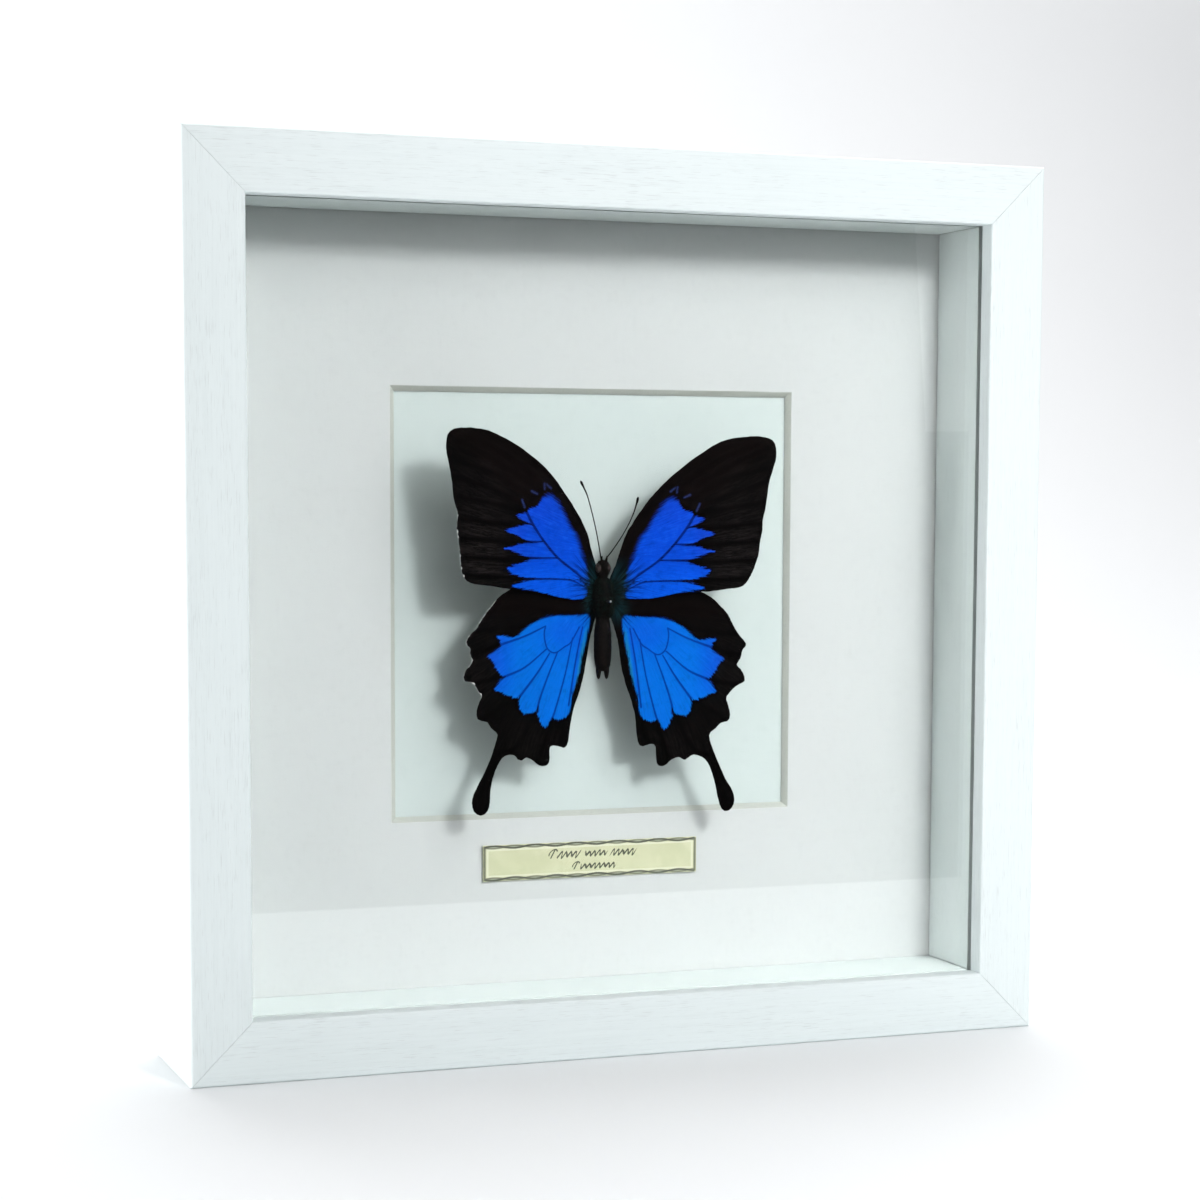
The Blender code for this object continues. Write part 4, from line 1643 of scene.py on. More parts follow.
@dataclass
class Forewing(Wing):
    """Black forewing with a blue cell and five blue fingers between the veins."""

    def blue_fields(self) -> list[Points]:
        """The cell and its five fingers.

        Returns:
            Closed outlines.
        """
        return [
            ((5.5, 133), (6.5, 137), (8, 141), (9.3, 144.5), (11.5, 147.5), (12.8, 150.5), (14.3, 153),
             (15.8, 154.9), (17.5, 155.8), (19.5, 155.2), (20.6, 153.7), (21.5, 152.7), (23.2, 152.4),
             (24.2, 151.5), (24.2, 150.3), (23.3, 148.6), (22.3, 147.4), (20.8, 145.3), (19.2, 143.4),
             (17, 140.8), (15, 138.8), (12, 136.4), (9, 134.2), (6.5, 132.2), (5, 131.2)),
            ((24.2, 150.9), (25.8, 150.8), (27.6, 150.3), (26.3, 149.6), (24.8, 148.9), (23.4, 148.2),
             (23.6, 149.5)),
            ((22.6, 147.5), (24.5, 147.5), (27, 147.3), (29.3, 146.7), (31.2, 146.3), (29.5, 145.6),
             (27, 144.6), (24.5, 143.6), (22, 143.2), (20.1, 143.2), (20.2, 144.3), (21.4, 146.2)),
            ((19.2, 142.8), (22, 142.8), (25, 142.7), (28, 142), (31.3, 141.2), (29, 140.5), (26.5, 139.6),
             (24, 138.8), (20, 138.6), (16, 138.6), (17.3, 140.6), (18.4, 141.8)),
            ((14.5, 138), (18, 138.2), (22, 138.1), (25, 137.6), (28, 136.8), (30.6, 135.9), (30, 135.3),
             (30.4, 134.9), (28, 134), (25, 133.2), (20, 133), (15, 132.9), (11, 132.9), (8, 132.9),
             (9.8, 134.6), (12.2, 136.3)),
            ((8, 131.8), (12, 132.4), (18, 132.5), (24, 132.4), (26, 132), (28.8, 131.2), (28.8, 130.7),
             (26, 130), (22, 129.4), (18, 128.6), (14, 127.6), (10, 127.2), (7, 127.4), (5.8, 128.6),
             (6.5, 130.5)),
        ]

    def veins(self) -> list[Stroke]:
        """The cell's lower vein, thinning outwards, and the branches from it.

        Returns:
            The veins.
        """
        return [
            Stroke(
                ((5.5, 131.6), (10, 134.9), (15, 138.6), (19.3, 143.2), (22.8, 148), (24.6, 151.2)),
                 0.24, 0.34),
            Stroke(((23, 148), (27, 147.9), (31, 146.8)), 0.16, 0.3),
            Stroke(((19.4, 143.1), (24, 143.0), (31, 143.4)), 0.14, 0.5),
            Stroke(((15, 138.5), (24, 138.5), (31, 138.2)), 0.14, 0.5),
            Stroke(((5, 129.5), (10, 132), (15, 132.6), (25, 132.8)), 0.12, 0.2),
        ]

    def ribs(self) -> list[Points]:
        """The veins' whole courses to the margin, and the thick front edge.

        Returns:
            The lines.
        """
        return [
            ((5.5, 131.6), (10, 134.9), (15, 138.6), (19.3, 143.2), (22.8, 148), (24.6, 151.2)),
            ((5, 134), (8, 142), (13, 151), (20, 159), (30, 166.5), (42, 171.5)),
            ((4.6, 141), (8.2, 149), (12, 154.5), (20.9, 164.2), (28.5, 169.2), (40, 173.2)),
            ((24.6, 151.2), (22.5, 155), (20, 157)), ((20, 157), (30, 163), (40, 168), (46, 171)),
            ((22.5, 155.5), (34, 161.5), (47.5, 166)), ((24, 153), (35, 157.5), (47, 161)),
            ((24.6, 151.2), (35, 153.5), (46, 155.5)), ((23, 148), (31, 148), (45.5, 149.6)),
            ((19.4, 143.1), (31, 143.3), (45, 144.2)), ((15, 138.5), (30, 138.2), (44.5, 139)),
            ((5, 129.5), (10, 132), (15, 132.6), (25, 132.8), (43, 134)),
        ]

    def joins(self, drawn: Array) -> Array:
        """Near the cell the fingers touch."""
        s, t = drawn.T
        return 0.30 * smooth_step(s + 0.35 * (146 - t), 29.5, 24.0) * smooth_step(t, 152, 149)

    def drawn(self, points: Array) -> Array:
        """The right forewing is a little narrower and leans down; the left is drawn as it is.

        Args:
            points: N by 2 on this wing.

        Returns:
            N by 2 on the left wing's drawing.
        """
        if self.hand is Hand.LEFT:
            return points
        s, t = points.T
        return np.stack([7.544 + 1.0606 * s - 0.065 * t, 0.913 + 0.0173 * s + 0.9973 * t], axis=-1)

    def depth(self, points: Array) -> Array:
        """Rises evenly to the tip, with a shallow curl towards the front edge and the outer margin.

        Args:
            points: N by 2 on this wing.

        Returns:
            N depths.
        """
        s, t = points.T
        curl = 0.35 * smooth_step(t - 0.75 * s, 128, 140) - 0.25 * smooth_step(s, 38, 49)
        return 20.0 - 0.178 * s + curl * 0.6

    def marks(self, points: Array, drawn: Array, inside: Array) -> dict[str, Array]:
        """Colour trend, roots, dusty strokes beyond the cell and grey rays at the outer corner.

        Args:
            points: N by 2 on this wing.
            drawn: the same on the drawing.
            inside: distance inside the outline.

        Returns:
            The numbers, by name.
        """
        s, t = drawn.T
        rays = polar(drawn, (-16, 137), 30.0)
        lower = smooth_step(t, 141, 130)
        hue = 0.62 + 0.22 * smooth_step(s, 22, 30) * (1 - lower) - 0.34 * lower
        hue = hue + 0.16 * smooth_step(t, 144, 154)
        strokes = [
            ((17, 157.8), (18.3, 158.8)), ((19, 157.5), (19, 159)), ((21.3, 156.2), (23, 156.9)),
            ((25.2, 152.5), (26, 154.5))]
        soft = smooth_step(s - 0.55 * (t - 140), 15, 8) * smooth_step(t, 133, 138)
        if self.hand is Hand.LEFT:
            scratch = near_lines(points, [((36, 169.2), (38.5, 170))], 0.2) * 0.3
            chips = (
                (45.9, 150.3), (45.9, 146), (45.6, 144.5), (45.4, 141), (45.2, 139.3), (44.7, 136),
                (44.1, 133.8))
            fringe = smooth_step(inside, 0.42, 0.12) * smooth_step(s, 40, 43) * smooth_step(t, 158, 150)
            pale = np.maximum.reduce([scratch, near_spots(points, chips, 0.95), 0.55 * fringe])
        else:
            scuffs = [((36.5, 167.5), (41, 168.6), (46, 168)), ((40, 170.5), (40, 169.5))]
            pale = near_lines(points, scuffs, 0.24) * 0.42
        return {
            **rays, "ray": polar(drawn, (0.5, 129.5), 14.0)["across"], "hue": hue,
            "root": np.hypot(s - 3.0, (t - 132.0) * 0.75), "fade": 1.0 + 4.5 * soft,
            "dust": near_lines(drawn, strokes, 0.9), "pale": pale, "warm": smooth_step(t - 0.8 * s, 128, 138),
            "ash": np.clip(0.15 + blob(drawn, (38.5, 140), 7.5, 12) + 0.3 * blob(drawn, (40, 158), 8, 9), 0, 1),
        }


@dataclass
class Hindwing(Wing):
    """Black tailed hindwing with a fan of blue."""

    def blue_fields(self) -> list[Points]:
        """The fan, scalloped between the veins.

        Returns:
            Closed outlines.
        """
        return [(
            (5, 122.5), (8, 122.4), (12, 122.3), (16, 122.4), (19, 121.6), (22, 120.2), (24, 118.8),
            (26, 117.3), (27.5, 116.6), (29.5, 116.7), (31, 117), (32.6, 117), (31.6, 115.9),
            (31.5, 115), (31, 114.2), (33, 112.8), (34.9, 111.6), (35, 111.3), (34, 110.3), (33.3, 109.2),
            (32.2, 107.5), (31.2, 106.3), (30.3, 105.8), (30, 105.6), (31.3, 104.6), (32.4, 103), (33, 102),
            (31.5, 101.6), (30, 100.8), (28, 99.9), (26, 99.5), (25.2, 100), (25.5, 98.5), (25.3, 97),
            (24.8, 95.8), (23.8, 94.8), (23.3, 95), (21.5, 95.2), (20.3, 95.8), (19.5, 97), (19.6, 95),
            (19.2, 93.2), (18.3, 91.6), (17.3, 90.9), (16.5, 91.8), (15.7, 93), (15.2, 93.4), (15, 93.3),
            (13, 93), (11.2, 93.5), (10.2, 94.8), (9.6, 97), (9.2, 100), (8, 103.5), (7, 107),
            (6.2, 111), (5.2, 115), (4.4, 119), (4.2, 121.5))]

    def veins(self) -> list[Stroke]:
        """The cell's loop, the front vein and six rays that thicken outwards.

        Returns:
            The veins.
        """
        thin = 0.13
        cell = (
            (7.5, 119), (10, 114.8), (12, 113.5), (14, 112.2), (15.5, 112), (17, 113), (17.8, 114.8),
            (18.2, 117.5), (17.8, 119.5))
        return [
            Stroke(cell, thin, thin),
            Stroke(((6, 122.8), (14, 122.6), (19, 121.8)), 0.15, 0.3),
            Stroke(((17.8, 119.5), (24, 116.8), (31.5, 114.5)), thin, 0.3),
            Stroke(((17.5, 113), (24, 108), (30, 105.6)), thin, 0.3),
            Stroke(((16.5, 111.8), (20, 106.5), (25.2, 100)), thin, 0.3),
            Stroke(((14, 112.2), (17, 105), (19.5, 98), (19.7, 95.5)), thin, 0.3),
            Stroke(((9.5, 116), (11.5, 106), (14.5, 95.5), (15.5, 93.2)), thin, 0.26),
            Stroke(((6.5, 119), (8.5, 109), (10.3, 97)), thin, 0.22),
        ]

    def ribs(self) -> list[Points]:
        """The rays' whole courses to the margin and into the tail.

        Returns:
            The lines.
        """
        return [
            ((7.5, 119), (10, 114.8), (12, 113.5), (14, 112.2), (15.5, 112), (17, 113), (17.8, 114.8)),
            ((6, 122.8), (14, 123.6), (24, 125), (33, 124.5)),
            ((17.8, 119.5), (24, 116.8), (31.5, 114.5), (40.5, 112.5)),
            ((17.8, 119.5), (26, 119.5), (38, 118.5)), ((17.5, 113), (24, 108), (30, 105.6), (41, 104)),
            ((16.5, 111.8), (20, 106.5), (25.2, 100), (33, 96), (37.2, 93.8)),
            ((14, 112.2), (17, 105), (19.5, 98), (22, 92), (27, 85), (31.5, 84), (35, 76), (37, 69)),
            ((9.5, 116), (11.5, 106), (14.5, 95.5), (17, 88), (19.5, 81)),
            ((6.5, 119), (8.5, 109), (10.3, 97), (12.5, 86)),
        ]

    def drawn(self, points: Array) -> Array:
        """The right hindwing hangs a little lower; the left is drawn as it is.

        Args:
            points: N by 2 on this wing.

        Returns:
            N by 2 on the left wing's drawing.
        """
        if self.hand is Hand.LEFT:
            return points
        s, t = points.T
        return np.stack([-1.983 + 1.0184 * s + 0.0055 * t, 1.831 + 0.0475 * s + 0.9862 * t], axis=-1)

    def depth(self, points: Array) -> Array:
        """Set back under the forewing, rolling back along its inner margin, its tail curling slightly.

        Args:
            points: N by 2 on this wing.

        Returns:
            N depths.
        """
        s, t = points.T
        roll = 0.9 * smooth_step(11.0 - (s - 0.09 * (118 - t)), 3.0, 9.0) * smooth_step(t, 121, 112)
        tail = 0.5 * smooth_step(t, 82, 66)
        wave = 0.12 * np.sin(0.55 * t + 0.3 * s) * smooth_step(s, 26, 38)
        return 21.3 - 0.0885 * s - 0.0524 * (t - 110) + roll - tail + wave

    def marks(self, points: Array, drawn: Array, inside: Array) -> dict[str, Array]:
        """Colour trend, the brown front border, the teal inner stripe and pale chips of the fringe.

        Args:
            points: N by 2 on this wing.
            drawn: the same on the drawing.
            inside: distance inside the outline.

        Returns:
            The numbers, by name.
        """
        s, t = drawn.T
        inner = s - 0.145 * (121 - t)
        stripe = np.exp(-(((inner - 4.9) / 0.75) ** 2)) * smooth_step(t, 95, 99) * smooth_step(t, 121, 117)
        dark = np.exp(-(((inner - 6.4) / 0.5) ** 2)) * smooth_step(t, 99, 103) * smooth_step(t, 120, 117)
        hue = 0.36 + 0.28 * blob(drawn, (11, 118), 8, 6)
        hue = hue + 0.45 * smooth_step(s, 25, 34) * smooth_step(t, 98, 106)
        hue = hue - 0.42 * stripe + 0.25 * dark
        chips = ((36.8, 122.5), (40.7, 113.5), (40, 110.3), (39.2, 103.7), (37.2, 100.8))
        fringe = 0.55 * smooth_step(inside, 0.42, 0.12) * smooth_step(s, 30, 34) * smooth_step(t, 96, 100)
        pale = np.zeros(len(s))
        if self.hand is Hand.LEFT:
            pale = np.maximum(near_spots(points, chips, 0.9), fringe)
        return {
            **polar(drawn, (6, 127), 24.0), "ray": polar(drawn, (1.5, 125.5), 14.0)["across"], "hue": hue,
            "root": np.hypot(s - 2.0, t - 124.5) * 1.1, "fade": np.ones(len(s)), "dust": np.zeros(len(s)),
            "pale": pale, "warm": smooth_step(t, 120, 125) * (1.0 + 1.6 * smooth_step(s, 20, 6)),
            "ash": np.clip(
                0.12 + 0.5 * blob(drawn, (36, 108), 5, 12) + 0.4 * blob(drawn, (22, 86), 10, 5), 0, 1),
        }


@dataclass
class Wings:
    """The four wings and their shared underside."""

    blue_fore: Stops = (
        (0, (0.0006, 0.058, 0.40)), (0.3, (0.0008, 0.060, 0.50)), (0.62, (0.0012, 0.042, 0.43)),
        (1.0, (0.006, 0.034, 0.39)))
    blue_hind: Stops = (
        (0, (0.012, 0.17, 0.34)), (0.3, (0.0008, 0.122, 0.53)), (0.6, (0.0012, 0.080, 0.50)),
        (1.0, (0.008, 0.062, 0.49)))
    ink_fore: Colour = (0.0004, 0.006, 0.07)
    ink_hind: Colour = (0.0005, 0.018, 0.17)
    glint_fore: Colour = (0.003, 0.095, 0.64)
    glint_hind: Colour = (0.003, 0.165, 0.63)

    def build(self) -> None:
        """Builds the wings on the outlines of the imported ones."""
        under = Underside().material()
        fore = WingScales("forewing_scales", self.blue_fore, self.ink_fore, self.glint_fore).material()
        hind = WingScales("hindwing_scales", self.blue_hind, self.ink_hind, self.glint_hind).material()
        for kind, finish, outlines in (
                (Forewing, fore, (FORE_LEFT, FORE_RIGHT)), (Hindwing, hind, (HIND_LEFT, HIND_RIGHT))):
            for hand, outline in zip(Hand, outlines):
                name = f"{kind.__name__.lower()}_{hand.word}"
                kind(hand, name, outline, 1.7 * hand.value).build([finish, under])


# ---- body


@dataclass
class Body:
    """Head with eyes and palps, thorax, ringed abdomen and claspers, covered in short scales and hair."""

    x: float = -3.2
    depth: float = 19.0
    rings: tuple[Triple, ...] = (
        (137.9, 0.15, 0.15), (137.55, 0.95, 0.9), (136.6, 1.6, 1.5), (135.4, 1.85, 1.75), (134.3, 1.65, 1.55),
        (133.5, 1.3, 1.25), (132.9, 1.35, 1.4), (132.1, 2, 2.1), (130.6, 2.55, 2.75), (128.5, 2.85, 3.05),
        (126, 2.9, 3.05), (123.6, 2.55, 2.7), (121.9, 2, 2.15), (121, 1.85, 1.95), (119.9, 2.1, 2.1),
        (117.5, 2.4, 2.4), (114, 2.5, 2.5), (110.6, 2.4, 2.4), (108.4, 2.1, 2.1), (107.3, 1.7, 1.7),
        (106.7, 1.0, 1.0), (106.5, 0.1, 0.1))
    clasper: tuple[Triple, ...] = (
        (108.4, 0.5, 0.6), (107, 0.75, 0.9), (105.7, 0.62, 0.8), (104.8, 0.42, 0.5), (104.25, 0.08, 0.1))
    segment: float = 1.95
    ball_sides: int = 28

    def lathe(self, x: float, rings: tuple[Triple, ...], sides: int, steps: int) -> Patch:
        """Ellipses along Z, smoothed by a Catmull-Rom curve.

        Args:
            x: X of its axis.
            rings: (height, half width, half depth) of each ring.
            sides: points in a ring.
            steps: rings between two given ones.

        Returns:
            The solid.
        """
        z, wide, deep = np.abs(curve_through(rings, steps)).T
        ringed = np.clip((121.0 - z) / 1.0, 0, 1) * np.clip((z - 106.5) / 1.0, 0, 1)
        phase = np.mod((z - 106.0) / self.segment, 1.0)
        groove = 1.0 - ringed * (0.075 * np.exp(-((phase / 0.12) ** 2)) + 0.05 * phase)
        angle = 2 * np.pi * np.arange(sides) / sides
        keel = 1.0 + 0.03 * np.cos(2 * angle)
        points = np.stack([
            x + (wide * groove)[:, None] * np.cos(angle) * keel,
            self.depth + FRONT_Y + (deep * groove)[:, None] * np.sin(angle),
            np.broadcast_to(z[:, None], (len(z), sides))], axis=-1)
        green = np.repeat(smooth_step(z, 121, 124) * smooth_step(z, 134, 131), sides)
        faces = [grid_faces(len(z), sides, wrap_columns=True), *fan_caps(len(z), sides)]
        return Patch(points.reshape(-1, 3), [f[:, ::-1] for f in faces], {"green": green})

    def ball(self, centre: Triple, radii: Triple) -> Patch:
        """An ellipsoid: each radius times the unit sphere's point at a latitude and longitude.

        Args:
            centre: its middle.
            radii: along X, Y and Z.

        Returns:
            The solid.
        """
        sides = self.ball_sides
        lat = np.linspace(-np.pi / 2 + 0.02, np.pi / 2 - 0.02, sides // 2)[:, None]
        lon = 2 * np.pi * np.arange(sides)[None, :] / sides
        unit = np.stack([np.cos(lat) * np.cos(lon), np.cos(lat) * np.sin(lon), np.sin(lat) + 0 * lon], axis=-1)
        points = np.array(centre) + unit * np.array(radii)
        faces = grid_faces(len(lat), sides, wrap_columns=True)
        return Patch(points.reshape(-1, 3), [faces, *fan_caps(len(lat), sides)])

    def build(self) -> None:
        """Builds the body, its eyes and the palps in front of the head."""
        y = self.depth + FRONT_Y
        patches = [self.lathe(self.x, self.rings, 56, 6)]
        patches += [self.lathe(self.x + out, self.clasper, 20, 5) for out in (-1.2, 1.2)]
        for side in (-1, 1):
            path = curve_through([
                (self.x + side * 0.55, y - 0.6, 137.0), (self.x + side * 0.75, y - 1.0, 138.0),
                (self.x + side * 0.7, y - 1.3, 138.9)], 6)
            patches.append(tube(path, np.linspace(0.42, 0.16, len(path)), 12))
        core = build_piece("ringed_body", patches, [BodyScales().material()])
        hand_in(core, "body_scales", "butterfly_body")
        eyes = [self.ball((self.x + side * 1.28, y - 0.35, 135.5), (0.95, 1.15, 1.3)) for side in (-1, 1)]
        hand_in(build_piece("eyes", eyes, [EyeSkin().material()]), "body_scales")


@dataclass(frozen=True)
class Tuft:
    """Hair over one stretch of the body, with how much its tint grows at the sides and on the flanks."""

    count: int
    low: float
    high: float
    length: Pair
    tint: float
    lean: float
    radius: float
    edge_tint: float = 0.0
    flank_tint: float = 0.0

    def tints(self, front: Array) -> Array:
        """The strands' tints.

        Args:
            front: sine of the angle towards the viewer.

        Returns:
            The tints, before their scatter.
        """
        sides = self.edge_tint * np.clip(1 - front, 0, 1)
        return self.tint + sides + self.flank_tint * np.exp(-((front - 0.75) / 0.2) ** 2)


@dataclass
class Coat:
    """Strands of hair on the thorax, head, wing roots and along the abdomen.

    Every strand is a slim three-sided spike: rings about a path that starts along its own direction and sags in
    proportion to the square of the distance.
    """

    body: Body
    seed: int = 41
    tufts: tuple[Tuft, ...] = (
        Tuft(3600, 122.2, 132.8, (0.6, 1.35), 0.25, 0.55, 0.036, 0.30, 0.25),
        Tuft(1300, 133.2, 137.7, (0.35, 0.9), 0.22, 0.1, 0.026),
        Tuft(2600, 107.4, 122.2, (0.3, 0.6), 0.16, 1.6, 0.024))
    wing_count: int = 2200
    wing_radius: float = 0.030
    wing_root_z: float = 128.4

    def strands(self, root: Array, way: Array, length: Array, radius: Array, tint: Array, sag: Array) -> Patch:
        """Builds many strands at once.

        Args:
            root: N by 3 starts.
            way: N by 3 unit directions.
            length: N lengths.
            radius: N root radii.
            tint: N tints.
            sag: N by 3 pulls at the tips.

        Returns:
            The strands as closed spikes.
        """
        n = len(root)
        t = np.array([0.0, 0.35, 0.7])
        path = root[:, None] + way[:, None] * (length[:, None] * t)[..., None]
        path = path + sag[:, None] * (t**2)[None, :, None]
        tip = root + way * length[:, None] + sag
        guide = np.where(np.abs(way[:, 2:3]) > 0.8, np.array([[1.0, 0, 0]]), np.array([[0, 0, 1.0]]))
        across = np.cross(way, guide)
        across /= np.linalg.norm(across, axis=1, keepdims=True)
        other = np.cross(way, across)
        angle = 2 * np.pi * np.arange(3) / 3
        ring = across[:, None] * np.cos(angle)[None, :, None]
        ring = ring + other[:, None] * np.sin(angle)[None, :, None]
        taper = radius[:, None] * np.array([1.0, 0.8, 0.45])
        points = path[:, :, None] + ring[:, None] * taper[..., None, None]
        points = np.concatenate([points.reshape(n, 9, 3), tip[:, None]], axis=1)
        quads = grid_faces(3, 3, wrap_columns=True)
        ends = np.array([(6, 7, 9), (7, 8, 9), (8, 6, 9), (0, 2, 1)])
        base = (np.arange(n) * 10)[:, None, None]
        reach = np.append(np.repeat(t, 3), 1.0)
        stored = {"tint": np.repeat(tint, 10), "reach": np.tile(reach, n)}
        faces = [(base + quads).reshape(-1, 4), (base + ends).reshape(-1, 3)]
        return Patch(points.reshape(-1, 3), faces, stored)

    def on_body(self, rng: np.random.Generator, tuft: Tuft) -> Patch:
        """Strands standing on the body between two heights, leaning tailwards.

        Args:
            rng: the random source.
            tuft: where they stand and what they are like.

        Returns:
            The strands.
        """
        count = tuft.count
        z = rng.uniform(tuft.low, tuft.high, count)
        angle = rng.uniform(0, 2 * np.pi, count)
        rings = np.array(self.body.rings)[::-1]
        wide = np.interp(z, rings[:, 0], rings[:, 1]) * 0.96
        deep = np.interp(z, rings[:, 0], rings[:, 2]) * 0.96
        root = np.stack([
            self.body.x + wide * np.cos(angle), self.body.depth + FRONT_Y + deep * np.sin(angle), z], axis=-1)
        way = np.stack([np.cos(angle), np.sin(angle), np.full(count, -tuft.lean)], axis=-1)
        way = way + rng.normal(0, 0.22, (count, 3))
        way /= np.linalg.norm(way, axis=1, keepdims=True)
        long = rng.uniform(*tuft.length, count)
        sag = np.stack([np.zeros(count), np.zeros(count), -0.25 * long], axis=-1)
        sag = sag + rng.normal(0, 0.08, (count, 3)) * long[:, None]
        tint = np.clip(tuft.tints(-np.sin(angle)) + rng.normal(0, 0.12, count), 0, 1)
        return self.strands(root, way, long, np.full(count, tuft.radius), tint, sag)

    def on_wings(self, rng: np.random.Generator) -> Patch:
        """Blue-green strands lying on the wing roots, combed outwards and down.

        Args:
            rng: the random source.

        Returns:
            The strands.
        """
        count = self.wing_count
        side = rng.choice([-1, 1], count)
        turn = np.radians(rng.uniform(-84, 66, count))
        start = rng.uniform(1.4, 4.3, count)
        z = self.wing_root_z + start * np.sin(turn)
        out = 0.9 + start * np.cos(turn)
        depth = 19.75 - 0.13 * out + 0.6 * smooth_step(z, 127.0, 125.5) + rng.uniform(-0.25, 0.1, count)
        turn = turn + rng.normal(0, 0.10, count)
        way = np.stack([side * np.cos(turn), -0.10 - rng.uniform(0, 0.12, count), np.sin(turn)], axis=-1)
        way /= np.linalg.norm(way, axis=1, keepdims=True)
        long = rng.uniform(0.8, 2.6, count) * (0.6 + 0.4 * np.cos(turn))
        sag = np.stack([0 * long, 0.06 * long, -0.05 * long], axis=-1)
        tint = np.clip(np.where(rng.random(count) < 0.5, 0.2, 0.9) + rng.normal(0, 0.12, count), 0, 1)
        root = np.stack([self.body.x + side * out, depth + FRONT_Y, z], axis=-1)
        return self.strands(root, way, long, np.full(count, self.wing_radius), tint, sag)

    def build(self) -> None:
        """Builds the whole coat as one mesh."""
        rng = np.random.default_rng(self.seed)
        coat = [self.on_body(rng, tuft) for tuft in self.tufts]
        coat.append(self.on_wings(rng))
        piece = build_piece("body_coat", coat, [Hair().material()])
        hand_in(piece, "body_scales")


@dataclass
class Antennae:
    """Two fine ringed feelers that end in upturned clubs: (across, height, depth, radius) along each."""

    body_x: float = -3.2
    left: tuple[Quadruple, ...] = (
        (-0.6, 137, 18.7, 0.22), (-0.75, 138.2, 18.6, 0.19), (-1.3, 141, 18.3, 0.165),
        (-2.55, 146.5, 17.9, 0.155), (-3.95, 151.5, 17.5, 0.155), (-5.3, 155.6, 17.2, 0.17),
        (-6.4, 157.9, 17.05, 0.24), (-7, 159, 17, 0.37), (-7.3, 159.6, 17, 0.33),
        (-7.45, 159.95, 17.0, 0.04))
    right: tuple[Quadruple, ...] = (
        (0.6, 137, 18.7, 0.22), (0.85, 138.2, 18.6, 0.19), (2.6, 140.5, 18.3, 0.165),
        (4.9, 143.9, 17.9, 0.155), (6.9, 147.4, 17.5, 0.155), (8.35, 150.6, 17.2, 0.17),
        (9.2, 153.2, 17.05, 0.24), (9.55, 154.5, 17, 0.37), (9.68, 155.1, 17, 0.33),
        (9.74, 155.5, 17.0, 0.04))
    ring: float = 0.52
    swell: float = 0.07

    def build(self) -> None:
        """Builds both with a ring every half millimetre."""
        skin = BodyScales("feeler_skin").material()
        for hand, points in zip(Hand, (self.left, self.right)):
            made = curve_through(points, 18)
            path = np.stack([self.body_x + made[:, 0], made[:, 2] + FRONT_Y, made[:, 1]], axis=-1)
            run = np.concatenate(([0], np.cumsum(np.linalg.norm(np.diff(path, axis=0), axis=1))))
            radius = np.clip(made[:, 3], 0.03, 1) * (1 + self.swell * np.sin(run * 2 * np.pi / self.ring))
            piece = build_piece("feeler_" + hand.word, [tube(path, radius, 12)], [skin])
            hand_in(piece, "body_scales", "antenna_" + hand.word)


@dataclass
class InsectPin:
    """Thin steel pin with its head cut off, driven through the thorax into the board."""

    x: float = -3.2
    z: float = 126.4
    radius: float = 0.29
    depths: Pair = (12.5, 38.4)

    def build(self) -> None:
        """A straight tube with a slightly flattened cut end and a drawn point."""
        first, last = self.depths
        depth = np.array([first, first + 0.03, first + 0.12, first + 3, 20, 30, last - 1.5, last])
        radius = np.array([0.55, 0.9, 1.0, 1.0, 1.0, 1.0, 1.0, 0.1]) * self.radius
        path = np.stack([np.full(8, self.x), depth + FRONT_Y, np.full(8, self.z)], axis=-1)
        piece = build_piece("cut_pin", [tube(path, radius, 24)], [EnamelledPin().material()])
        sharpen(piece, 40.0)
        hand_in(piece, "pin_steel", "insect_pin")


# ---- studio


@dataclass(frozen=True)
class Lamp:
    """A square soft light.

    Attributes:
        name: the lamp's name.
        place: where it stands, in metres.
        target: the point it faces.
        size: length of its side.
        power: its power.
        spread: the angle that it shines into, in degrees.
    """

    name: str
    place: Triple
    target: Triple
    size: float
    power: float
    spread: float = 180.0

    def hang(self) -> None:
        """Puts the lamp in the scene, facing its target and unseen through the glass."""
        lamp = bpy.data.lights.new(self.name, "AREA")
        lamp.shape = "SQUARE"
        lamp.size = self.size
        lamp.energy = self.power
        if self.spread < 180.0:
            lamp.spread = math.radians(self.spread)
        holder = bpy.data.objects.new(self.name, lamp)
        place = np.array(self.place)
        away = place - np.array(self.target)
        away /= np.linalg.norm(away)
        right = np.cross((0, 0, 1), away)
        right /= np.linalg.norm(right)
        stand(holder, place, (right, np.cross(away, right), away))
        holder.visible_transmission = False
        bpy.context.scene.collection.objects.link(holder)


def stand(holder: Object, place: Array, axes: tuple[Array, Array, Array]) -> None:
    """Places an object by its three axes.

    Args:
        holder: the object.
        place: where its origin goes, in metres.
        axes: its right, up and backward directions.
    """
    matrix = np.eye(4)
    matrix[:3, 0], matrix[:3, 1], matrix[:3, 2] = axes
    matrix[:3, 3] = place
    holder.matrix_world = Matrix(matrix.tolist())


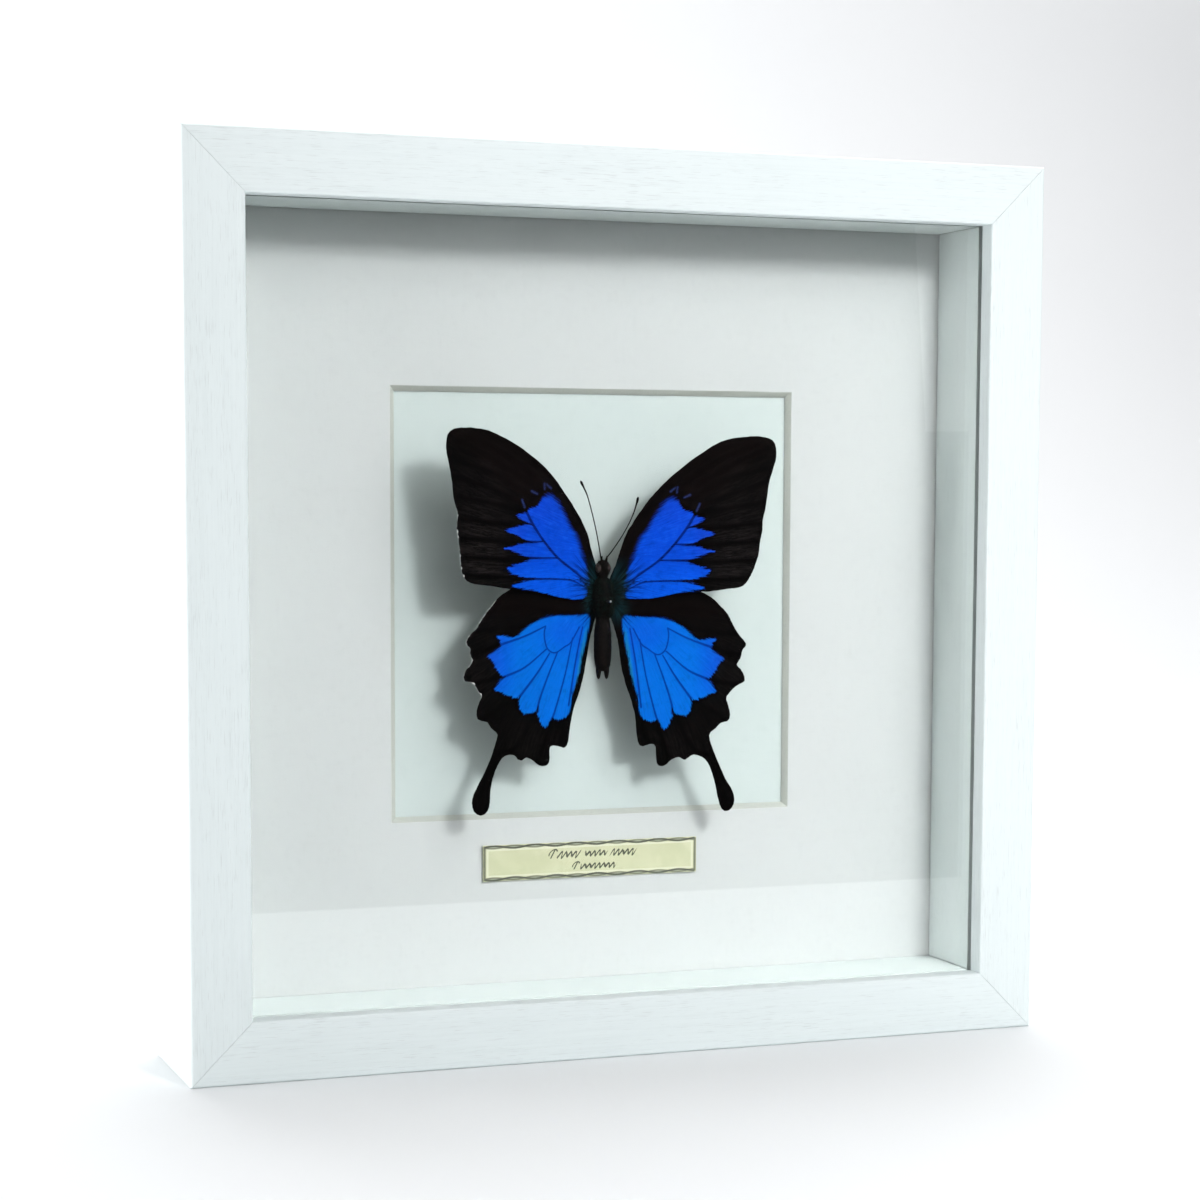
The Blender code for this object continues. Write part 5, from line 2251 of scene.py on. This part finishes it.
@dataclass
class Studio:
    """Pale sweep, a key light aimed right so that it fades to the left, weak side lights and one overhead.

    Lengths are in metres, angles in degrees; the camera's lens and sensor are in millimetres.
    """

    middle: Triple = (0.0, 0.0, 0.125)
    key_way: Triple = (0.197, -1.0, 0.445)
    key_far: float = 1.1
    key_size: float = 0.155
    key_power: float = 1.33
    key_aim: float = 0.14
    key_spread: float = 81.0
    fills: tuple[Lamp, ...] = (
        Lamp("right", (0.75, -0.85, 0.42), (0.0, 0.0, 0.125), 0.45, 0.75),
        Lamp("left", (-1.3, 0.4, 0.35), (0.0, 0.0, 0.125), 0.7, 6.5),
        Lamp("left_front", (-1.3, -0.12, 0.25), (0.0, 0.0, 0.125), 0.26, 6.4),
        Lamp("overhead", (0.35, 0.55, 1.7), (0.35, 0.75, 0.0), 1.6, 36.0))
    sky: Colour = (0.93, 0.97, 1.0)
    surround: float = 0.015
    camera_at: Triple = (-0.26111, -0.70046, 0.15577)
    yaw: float = 20.275
    pitch: float = -5.286
    roll: float = 0.178
    lens: float = 79.25
    sensor: float = 36.0
    shift_up: float = 0.1167
    gloss_edge: float = -0.29
    front_edge: float = -3.0
    half_wide: float = 3.0
    wall_at: float = 1.5
    wall_high: float = 3.0
    bend: float = 0.6

    def sweep(self) -> None:
        """Floor that rises into a wall through a quarter round; width times section.

        The floor in front of gloss_edge is a piece of its own, which reflections and the glass leave out.
        """
        count = 30
        arc = np.linspace(-np.pi / 2, 0, 24)
        front = np.stack([np.linspace(self.front_edge, self.gloss_edge, 12), np.zeros(12)], axis=-1)
        near = np.stack([np.linspace(self.gloss_edge, 0.75, 16), np.zeros(16)], axis=-1)
        turn = np.stack([
            self.wall_at - self.bend + self.bend * np.cos(arc), self.bend + self.bend * np.sin(arc)], axis=-1)
        wall = np.stack([np.full(12, self.wall_at), np.linspace(0.7, self.wall_high, 12)], axis=-1)
        across = np.linspace(-self.half_wide, self.half_wide, count) / MM
        paint = Ground().material()
        for name, line in (("studio_sweep", np.vstack([near, turn, wall])), ("studio_front", front)):
            y, z = (np.repeat(line / MM, count, axis=0)).T
            points = np.stack([np.tile(across, len(line)), y, z], axis=-1)
            piece = build_piece(name, [Patch(points, [grid_faces(len(line), count)])], [paint])
            seen = line is not front
            piece.visible_glossy = seen
            piece.visible_transmission = seen

    def key(self) -> Lamp:
        """The key light: narrow, and aimed right of the middle so that its light fades to the left.

        Returns:
            The lamp.
        """
        way = np.array(self.key_way)
        place = np.array(self.middle) + way / np.linalg.norm(way) * self.key_far
        target = np.array(self.middle) + np.array([self.key_aim, 0, 0])
        return Lamp("key", tuple(place), tuple(target), self.key_size, self.key_power, self.key_spread)

    def camera(self) -> None:
        """A camera turned by yaw about Z, then pitch, then roll."""
        yaw, pitch, roll = (math.radians(a) for a in (self.yaw, self.pitch, self.roll))
        ahead = np.array([math.sin(yaw) * math.cos(pitch), math.cos(yaw) * math.cos(pitch), math.sin(pitch)])
        right = np.array([math.cos(yaw), -math.sin(yaw), 0.0])
        up = np.cross(right, ahead)
        lens = bpy.data.cameras.new("camera")
        lens.lens = self.lens
        lens.sensor_width = self.sensor
        lens.shift_y = self.shift_up
        lens.clip_start = 0.01
        holder = bpy.data.objects.new("camera", lens)
        c, s = math.cos(roll), math.sin(roll)
        stand(holder, np.array(self.camera_at), (c * right + s * up, -s * right + c * up, -ahead))
        bpy.context.scene.collection.objects.link(holder)
        bpy.context.scene.camera = holder

    def build(self) -> None:
        """Sets the sweep, the lights, the surroundings and the camera."""
        self.sweep()
        for lamp in (self.key(), *self.fills):
            lamp.hang()
        world = bpy.data.worlds.new("surroundings")
        world.use_nodes = True
        back = world.node_tree.nodes["Background"]
        back.inputs["Color"].default_value = (*self.sky, 1.0)
        back.inputs["Strength"].default_value = self.surround
        bpy.context.scene.world = world
        bpy.context.scene.view_settings.view_transform = "Standard"
        self.camera()


def main() -> None:
    """Builds the frame, its layers and the specimen, then the studio."""
    logging.basicConfig(level=logging.INFO, format="%(message)s")
    FrameRails().build()
    dress("glass_pane", ClearPane().material())
    liner = Card("liner_paper", (0.70, 0.755, 0.745), (0.665, 0.72, 0.71), rough=0.6).material()
    for place in Place:
        dress("liner_" + place.word, liner)
    WindowMat().build()
    PrintedCard().build()
    Backing().build()
    Wings().build()
    body = Body()
    body.build()
    Coat(body).build()
    Antennae().build()
    InsectPin().build()
    Studio().build()


if __name__ == "__main__":
    main()
